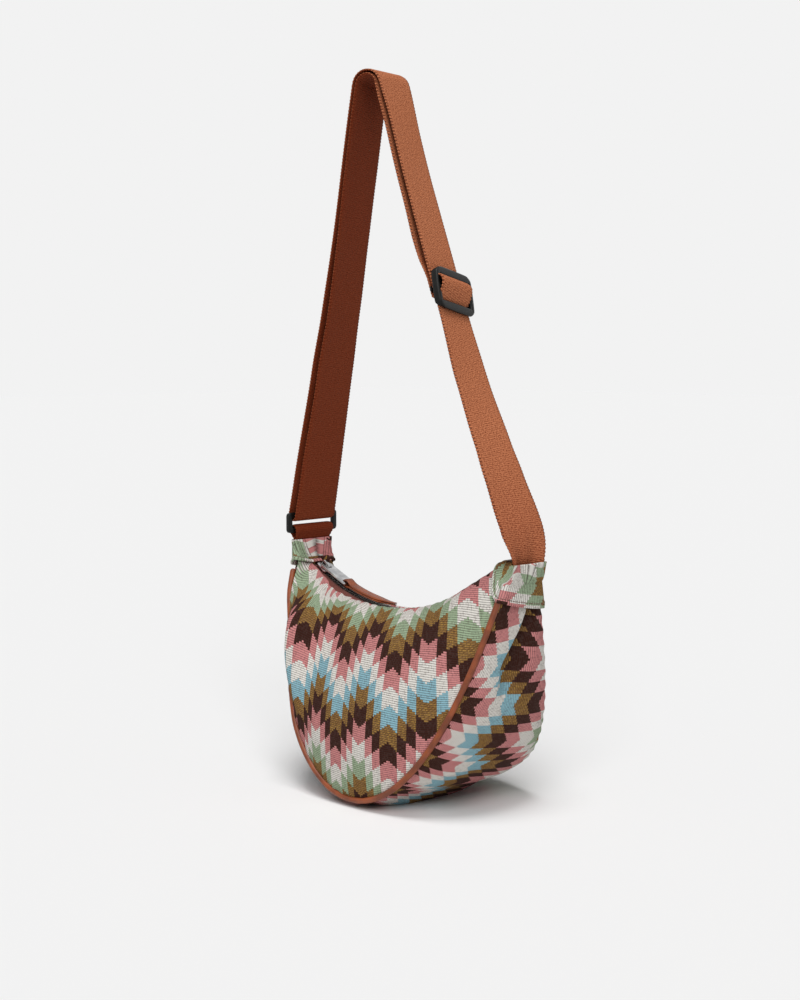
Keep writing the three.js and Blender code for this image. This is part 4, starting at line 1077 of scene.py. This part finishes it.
webbing, start, link = new_finish("webbing", Roughness=0.85, Specular_IOR_Level=0.1)
marked, length_way = cloth_ways(start)
# Faces marked for painted shade.
painted_shade_face = marked > SHADE_MARK / 2
side_way = marked - painted_shade_face * SHADE_MARK
twill = furrows(side_way / TWILL_RUN + length_way / TWILL_PITCH)
weave = 1 - twill * twill
fleck = start.node("TexNoise", sockets={"Scale": 1.0, "Detail": 3.0, "Vector": start.node(
    "CombineXYZ", sockets={0: side_way / 1.5, 1: length_way / 0.8})})
colour = (weave * 0.16 + fleck).soft_step(0.34, 0.8).mix(paint(111, 51, 27), paint(211, 134, 94))
colour = (mottling(start, 18.0) * 0.3).mix(colour, paint(158, 84, 52))
edge = abs(side_way).soft_step(18.2, 19.2)
colour = (edge * ((length_way / WEB_TOOTH) % 1 > 0.5) * 0.7).mix(colour, paint(70, 30, 18))
# Painted shade: the marked face of the webbing, turned inwards where it lies in shade, is painted a deep
# brown.
colour = (painted_shade_face * 0.85).mix(colour, paint(106, 36, 10))
# Painted shade: the webbing is painted darker over its first lengths from a sewn foot, low by the tabs and
# round the ring.
colour = ((1 - length_way.soft_step(0.0, FOOT_SHADE_L)) * 0.3).mix(colour, paint(86, 14, 2))
link(Base_Color=colour, Normal=relief(start, strength=0.6, depth=0.4, height=weave * 0.5 + fleck))


def web_loop(middle, across, out, width, cup, drape, tooth):
    """Section of webbing, its edges cupped outwards and its face gently waved."""
    share = np.linspace(-1, 1, WEB_FACETS + 1)
    half = width / 2 + tooth
    side, rise, tilt = half * share, 0 * share, 0 * share
    if cup > 1e-4:
        tilt = cup * share
        side, rise = half / cup * np.sin(tilt), half / cup * (1 - np.cos(tilt))
    rise = rise + drape * np.cos(share * pi * DRAPE_WAVES)
    thin = WEB_T / 2 * between(1, WEB_EDGE_THIN, ease(np.abs(share), WEB_EDGE_FROM, 1))
    top, low = (np.outer(side - face * np.sin(tilt) * thin, across)
                + np.outer(rise + face * np.cos(tilt) * thin, out) for face in (1, -1))
    edges = np.outer(side * WEB_EDGE_OUT, across) + np.outer(rise, out)
    return middle + np.concatenate([edges[:1], top, edges[-1:], low[::-1]])


def web_places(width, at, shaded):
    """Places on the webbing round its section. The face turned inwards, 1 above or -1 below, is marked for
    painted shade.
    """
    side = np.linspace(-width / 2, width / 2, WEB_FACETS + 1)
    above, below = SHADE_MARK * (shaded > 0), SHADE_MARK * (shaded < 0)
    around = np.concatenate([side[:1] + above, side + above, side[-1:] + above, side[::-1] + below])
    return np.stack([around, np.full(len(around), at)], -1)


def web_strip(name, middles, across, out, widths, shaded, cups=0.0, drapes=0.0, start=0):
    """A strip of finely toothed webbing through a row of places, starting at a length from a sewn foot."""
    across = np.broadcast_to(across, middles.shape)
    widths, shaded, cups, drapes = (np.broadcast_to(v, len(middles)) for v in (widths, shaded, cups, drapes))
    loops, places = [], []
    for k, at in enumerate(start + lengths_along(middles)):
        tooth = TOOTH_DEPTH * sin(at * 2 * pi / WEB_TOOTH)
        loops.append(web_loop(middles[k], across[k], out[k], widths[k], cups[k], drapes[k], tooth))
        places.append(web_places(widths[k], at, shaded[k]))
    return loft(name, loops, np.array(places))


LOOP_WRAP = radians(25)
LOOP_SUNK = 2.5
LOOP_NARROWER = 2.5
LOOP_STEP = 0.8
at_tab = TAB_TOP_Z - RING_LOW_BAR_Z
foot_x = WEB_T / 2 + 0.08
path = resampled(np.concatenate([
    [(foot_x, at_tab - LOOP_SUNK), (foot_x, at_tab)],
    TURN_R * circle(np.linspace(-LOOP_WRAP, pi + LOOP_WRAP, 60)),
    [(-foot_x, at_tab), (-foot_x, at_tab - LOOP_SUNK)]]), LOOP_STEP)
way = unit(np.gradient(path, axis=0))
middles = np.stack([path[:, 0] - RING_X, 0 * path[:, 0], path[:, 1] + RING_LOW_BAR_Z], -1)
out = np.stack([way[:, 1], 0 * way[:, 0], -way[:, 0]], -1)
widths = between(STRAP_W - LOOP_NARROWER, LOOP_FOOT_W, ease(-path[:, 1], 0, -at_tab))
# Both layers' faces that look to the bag's right are marked for painted shade.
ring_webbing = web_strip("ring_webbing", middles, (0.0, 1.0, 0.0), out, widths, np.sign(path[:, 0] + 0.01))
dress(ring_webbing, webbing, "bag", "webbing", "left_webbing_loop")

# Shoulder strap: one length of the same webbing, cupped where it is sewn into the right tab. It rises over
# the arch to the ring's upper bar, turns round it and comes back as a second layer.
RING_TOP_BAR_Z = RING_Z + (RING_H - RING_BAR) / 2
STRAP_CUP_LENGTH = 26
STRAP_SUNK = 3.5
STRAP_STEP = 0.6
FOOT_DRAPE = 0.5
FOOT_DRAPE_AT = (4, 40)
KNEE_L = 14
BOW = np.array([59, 287])
ARCH_R = 11
ARCH = np.array([-33, 514 - WEB_T / 2 - ARCH_R])
ARCH_YAW = radians(12)
GLIDE_Z = 357
GLIDE_RUN = 55


def touching_normal(c1, r1, c2, r2, side):
    """Outward normal of the straight run that touches two rounds on one side."""
    gap = c2 - c1
    along = (r1 - r2) / np.linalg.norm(gap)
    gap = unit(gap)
    return gap * along + np.array([-gap[1], gap[0]]) * side * sqrt(1 - along * along)


def bent(a, b, c, count):
    """Points of a bend from a to c that starts and ends towards b."""
    t = np.linspace(0, 1, count)[:, None]
    return (1 - t) ** 2 * a + 2 * (1 - t) * t * b + t * t * c


ring_turn = np.array([-RING_X, RING_TOP_BAR_Z])
right_normal = touching_normal(ARCH, ARCH_R, BOW, 0, 1)
left_normal = touching_normal(ARCH, ARCH_R, ring_turn, TURN_R, -1)
arch_right = ARCH + right_normal * ARCH_R
arch_left = ARCH + left_normal * ARCH_R
ring_left = ring_turn + left_normal * TURN_R
right_up = unit(arch_right - BOW)
glide_at = between(BOW, arch_right, (GLIDE_Z - BOW[1]) / (arch_right[1] - BOW[1]))
foot = np.array([TAB_X, TAB_TOP_Z - STRAP_SUNK])
knee = np.array([TAB_X + 3, TAB_TOP_Z + KNEE_L])
knee_end = knee + unit(BOW - knee) * KNEE_L
straight_start = glide_at - right_up * GLIDE_RUN
turns = np.linspace(atan2(right_normal[1], right_normal[0]), atan2(left_normal[1], left_normal[0]), 60)
stretches = [bent(foot, knee, knee_end, 40), bent(knee_end, BOW, straight_start, 80),
             np.linspace(straight_start, arch_right, 60), ARCH + ARCH_R * circle(turns),
             np.linspace(arch_left, ring_left, 60)]
runs = [lengths_along(stretch)[-1] for stretch in stretches]
arch_start, arch_end, route_end = sum(runs[:3]), sum(runs[:4]), sum(runs)
glide_length = arch_start - np.linalg.norm(arch_right - glide_at)
route = resampled(np.concatenate([stretches[0]] + [stretch[1:] for stretch in stretches[1:]]), STRAP_STEP)
route_at = lengths_along(route)
route_at *= route_end / route_at[-1]
middle_arch = (arch_start + arch_end) / 2


def left_at(z):
    """The route's length at a height on its left run."""
    return between(arch_end, route_end, (arch_left[1] - z) / (arch_left[1] - ring_left[1]))


yaw = np.radians(along_keys([
    (0, -2), (36, -4), (66, 1), (90, 5), (134, 10), (glide_length - 14, 15), (arch_start - 40, 17),
    (middle_arch, 12), (left_at(454), 12), (left_at(389), 13), (left_at(346), 12), (left_at(303), 8),
    (left_at(217), 2), (route_end, 1)], route_at))
near_arch = hill(route_at, arch_start - 80, arch_start, arch_end, arch_end + 110)
sideways = np.tan(ARCH_YAW) * np.clip(route[:, 0] - ARCH[0], -ARCH_R, ARCH_R) * near_arch
strap_middle = np.stack([route[:, 0], sideways, route[:, 1]], -1)
strap_way = unit(np.gradient(strap_middle, axis=0))
strap_across = square_to(np.stack([-np.sin(yaw), np.cos(yaw), 0 * yaw], -1), strap_way)
strap_out = np.cross(strap_across, strap_way)

LAYER_GAP = 0.1
GLIDE_MID_T = 1.2
TAIL_AT = -(WEB_T + LAYER_GAP)
MID_BAR_AT = TAIL_AT - WEB_T / 2 - LAYER_GAP - GLIDE_MID_T / 2
LOOP_AT = MID_BAR_AT - GLIDE_MID_T / 2 - LAYER_GAP - WEB_T / 2
spacing = along_keys([
    (glide_length + 10, -LOOP_AT), (glide_length + 26, 6), (glide_length + 70, 5), (arch_start - 20, 4.6),
    (middle_arch, 2.6), (left_at(440), 3.2), (left_at(335), 5.6), (left_at(255), 6.4),
    (route_end, 2 * TURN_R)], route_at)
second_layer = strap_middle - strap_out * spacing[:, None]
turns = np.linspace(0, -pi, 16)[1:-1]
turned = np.array([Matrix.Rotation(t, 3, Vector(strap_across[-1])) @ Vector(strap_out[-1]) for t in turns])
round_ring = strap_middle[-1] + (turned - strap_out[-1]) * TURN_R
back = np.flatnonzero(route_at > arch_start)[::-1]
middles = np.concatenate([strap_middle, round_ring, second_layer[back]])
across_all = np.concatenate([strap_across, np.tile(strap_across[-1], (len(turns), 1)), strap_across[back]])
out_all = np.concatenate([strap_out, turned, -strap_out[back]])
rest = np.zeros(len(middles) - len(route_at))
from_foot = ease(route_at, 0, STRAP_CUP_LENGTH)
cups = np.concatenate([CUP * (1 - from_foot), rest])
drapes = np.concatenate([FOOT_DRAPE * (1 - ease(route_at, *FOOT_DRAPE_AT)), rest])
widths = np.concatenate([between(FOOT_W, STRAP_W, from_foot), rest + STRAP_W])
# The faces turned towards the inside of the arch are marked for painted shade.
shaded = np.where(np.arange(len(middles)) < len(route_at) + len(turns) // 2, -1, 1)
strap = web_strip("strap_webbing", middles, across_all, out_all, widths, shaded, cups, drapes)
dress(strap, webbing, "bag", "webbing", "shoulder_strap")

# Ring and tri-glide: moulded in black plastic. The ring joins the strap to the left tab, and the tri-glide
# slides on the strap's right run.
black_plastic, start, link = new_finish("black_plastic", Specular_IOR_Level=0.2)
scuff = mottling(start, 220.0, 5.0)
pebble = start.node("TexVoronoi", sockets={"Vector": start.node("TexCoord").other("Object"), "Scale": 2600.0})
link(Base_Color=scuff.soft_step(0.4, 0.8).mix(paint(11, 11, 10), paint(26, 26, 24)),
     Roughness=scuff * 0.25 + 0.3, Normal=relief(start, strength=0.12, depth=0.1, height=pebble))
moulded_ring = eased_copy("moulded_ring", "strap_ring", easing=0.9)
dress(moulded_ring, black_plastic, "bag", "black_plastic", "strap_ring")

GLIDE_H = 30
GLIDE_BAR = 6
GLIDE_SIDE = 4.8
GLIDE_T = 2.6
GLIDE_CHEEK = 2.8
GLIDE_SQUARE = 12
GLIDE_MID_BAR = 4
GLIDE_HALF_GAP = 19.3
GLIDE_TWIST = radians(15)
GLIDE_ROLL = radians(4.5)
GLIDE_TIP = radians(6)
GLIDE_LIFT = 2
GLIDE_SHIFT = 2
glide_flat = np.array([right_up[1], 0, -right_up[0]])
glide_across = np.array([0, cos(GLIDE_TWIST), 0]) - glide_flat * sin(GLIDE_TWIST)
glide_out = glide_flat * cos(GLIDE_TWIST) + np.array([0, sin(GLIDE_TWIST), 0])
glide_up = np.array([right_up[0], 0, right_up[1]])
glide_middle = np.array([glide_at[0], 0, glide_at[1]])
glide_rise = glide_up * cos(GLIDE_ROLL) + glide_across * sin(GLIDE_ROLL)
glide_axes = np.array([glide_across * cos(GLIDE_ROLL) - glide_up * sin(GLIDE_ROLL),
                       glide_rise * cos(GLIDE_TIP) + glide_out * sin(GLIDE_TIP),
                       glide_out * cos(GLIDE_TIP) - glide_rise * sin(GLIDE_TIP)])
loops = []
for c, s in circle(full_turn(120)):
    corner = (abs(c) ** GLIDE_SQUARE + abs(s) ** GLIDE_SQUARE) ** (-1 / GLIDE_SQUARE)
    on_side = ease(abs(c) * corner, 0.86, 1)
    wide = between(GLIDE_BAR, GLIDE_SIDE, on_side)
    low = WEB_T / 2 + GLIDE_LIFT - GLIDE_CHEEK * on_side
    high = WEB_T / 2 + GLIDE_LIFT + GLIDE_T
    loop = []
    for a, b in circle(full_turn(20)):
        bulge = (a ** 4 + b ** 4) ** -0.25 / 2
        sideways = GLIDE_SHIFT + c * corner * (GLIDE_HALF_GAP + GLIDE_SIDE / 2)
        sideways += wide * a * bulge * c * on_side
        upwards = s * corner * (GLIDE_H - GLIDE_BAR) / 2
        upwards += wide * a * bulge * np.sign(s) * (1 - on_side * 0.4) * abs(s) ** 0.3
        outwards = (low + high) / 2 + (high - low) * b * bulge
        loop.append(glide_middle + np.array([sideways, upwards, outwards]) @ glide_axes)
    loops.append(loop)
dress(loft("moulded_glide", loops, wrap=True), black_plastic, "adjuster", "black_plastic", "tri_glide")
corner = np.array([GLIDE_HALF_GAP + 1.6, GLIDE_MID_BAR / 2, GLIDE_MID_T / 2])
bar_middle = np.array([GLIDE_SHIFT, 0, MID_BAR_AT])
points, faces = eased_block(bar_middle - corner, bar_middle + corner, easing=0.5)
glide_bar = repeat("glide_middle_bar", points, faces, [(glide_middle, glide_axes)])
dress(glide_bar, black_plastic, "adjuster", "black_plastic")

# Sewn end of the strap: it comes up behind the tri-glide's middle bar, turns round it and is stitched down.
# In the tri-glide's window the webbing stands out over the hidden middle bar.
LOOP_TAIL = 30
LOOP_RISE = 11
LOOP_TURN_DROP = 1
SEWN_END_W = 33
FULL_WIDTH_AT = 45
HUMP = 8
HUMP_TOP = 4
HUMP_LIFT = 0.35
HUMP_OVER = 5
HUMP_UNDER = 2.5


def glide_strip(path, up=glide_up):
    """Middles and outward ways of webbing along a path of heights up the strap and distances out of it."""
    path = resampled(path, STRAP_STEP)
    way = unit(np.gradient(path, axis=0))
    return (glide_middle + np.outer(path[:, 0], up) + np.outer(path[:, 1], glide_out),
            np.outer(way[:, 0], glide_out) - np.outer(way[:, 1], up))


half = (TAIL_AT - LOOP_AT) / 2
turn_y = -GLIDE_MID_BAR / 2 + half - WEB_T / 2 - PLAY - LOOP_TURN_DROP
turned = circle(np.linspace(0, pi, 30))[:, ::-1] * (-half, half) + (turn_y, (TAIL_AT + LOOP_AT) / 2)
middles, outs = glide_strip(np.concatenate([[(LOOP_TAIL, TAIL_AT)], turned, [(LOOP_RISE, LOOP_AT)]]))
above = np.flatnonzero((route_at > glide_length + LOOP_RISE + STRAP_STEP) & (route_at < arch_start + 1))
across_all = np.concatenate([np.tile(glide_across, (len(middles), 1)), strap_across[above]])
widening = between(SEWN_END_W, STRAP_W, ease(route_at[above] - glide_length, LOOP_RISE, FULL_WIDTH_AT))
widths = np.concatenate([np.full(len(middles), SEWN_END_W), widening])
middles, outs = np.concatenate([middles, second_layer[above]]), np.concatenate([outs, strap_out[above]])
end_loop = web_strip("sewn_end_webbing", middles, across_all, outs, widths, -1, start=PAST_FOOT_SHADE)
end_loop.data.materials.append(webbing)
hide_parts("strap_end_loop")
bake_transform(end_loop)

window = GLIDE_H / 2 - GLIDE_BAR
up = np.linspace(-window - HUMP_UNDER, window + HUMP_OVER, 44)
below = np.cos(np.clip((up - HUMP_TOP) / (window + HUMP_TOP), -1, 0) * pi / 2)
above = np.cos(np.clip((up - HUMP_TOP) / (window + HUMP_OVER - HUMP_TOP), 0, 1) * pi / 2) ** 2
middles, outs = glide_strip(np.stack([up, HUMP_LIFT + HUMP * np.minimum(below, above)], -1), glide_rise)
hump = web_strip("window_webbing", middles, glide_axes[0], outs, STRAP_W, -1, start=PAST_FOOT_SHADE)
dress(hump, webbing, "adjuster", "webbing")

# Studio: a plain pale floor that runs out of sight, an even pale surround, and two soft lamps: one high above
# the right of the front and a lower one that fills the shade.
FLOOR = paint(242, 242, 242)
FLOOR_HALF = 8000
SURROUND_LIGHT = 0.17
LAMPS = [("key", 40, 78, 1.65, 24), ("front fill", 42, 42, 1.5, 36)]

floor_finish, _, _ = new_finish("pale_floor", Base_Color=FLOOR, Roughness=1.0, Specular_IOR_Level=0.0)
corners = np.array([(-1, -1, 0), (1, -1, 0), (1, 1, 0), (-1, 1, 0)]) * FLOOR_HALF
floor = new_piece("floor", corners, [(0, 1, 2, 3)])
floor.data.materials.append(floor_finish)

world = bpy.data.worlds.new("studio")
world.use_nodes = True
bpy.context.scene.world = world
tree = world.node_tree
room = Thread(tree)
ray = room.node("LightPath")
shown = room.math("MAXIMUM", ray, ray.other("Is Glossy Ray"))
shown = room.math("MAXIMUM", shown, ray.other("Is Transmission Ray"))
surround = room.node("MixShader", sockets={
    0: shown,
    1: room.node("Background", sockets={"Color": (1, 1, 1, 1), "Strength": SURROUND_LIGHT}),
    2: room.node("Background", sockets={"Color": FLOOR, "Strength": 1.0})})
tree.links.new(surround.socket, tree.nodes["World Output"].inputs[0])

for name, turn, rise, strength, spread in LAMPS:
    lamp = faced(name, bpy.data.lights.new(name, "SUN"), seen_from(turn, rise))
    lamp.data.energy = strength
    lamp.data.angle = radians(spread)

bpy.context.scene.view_settings.view_transform = "Standard"
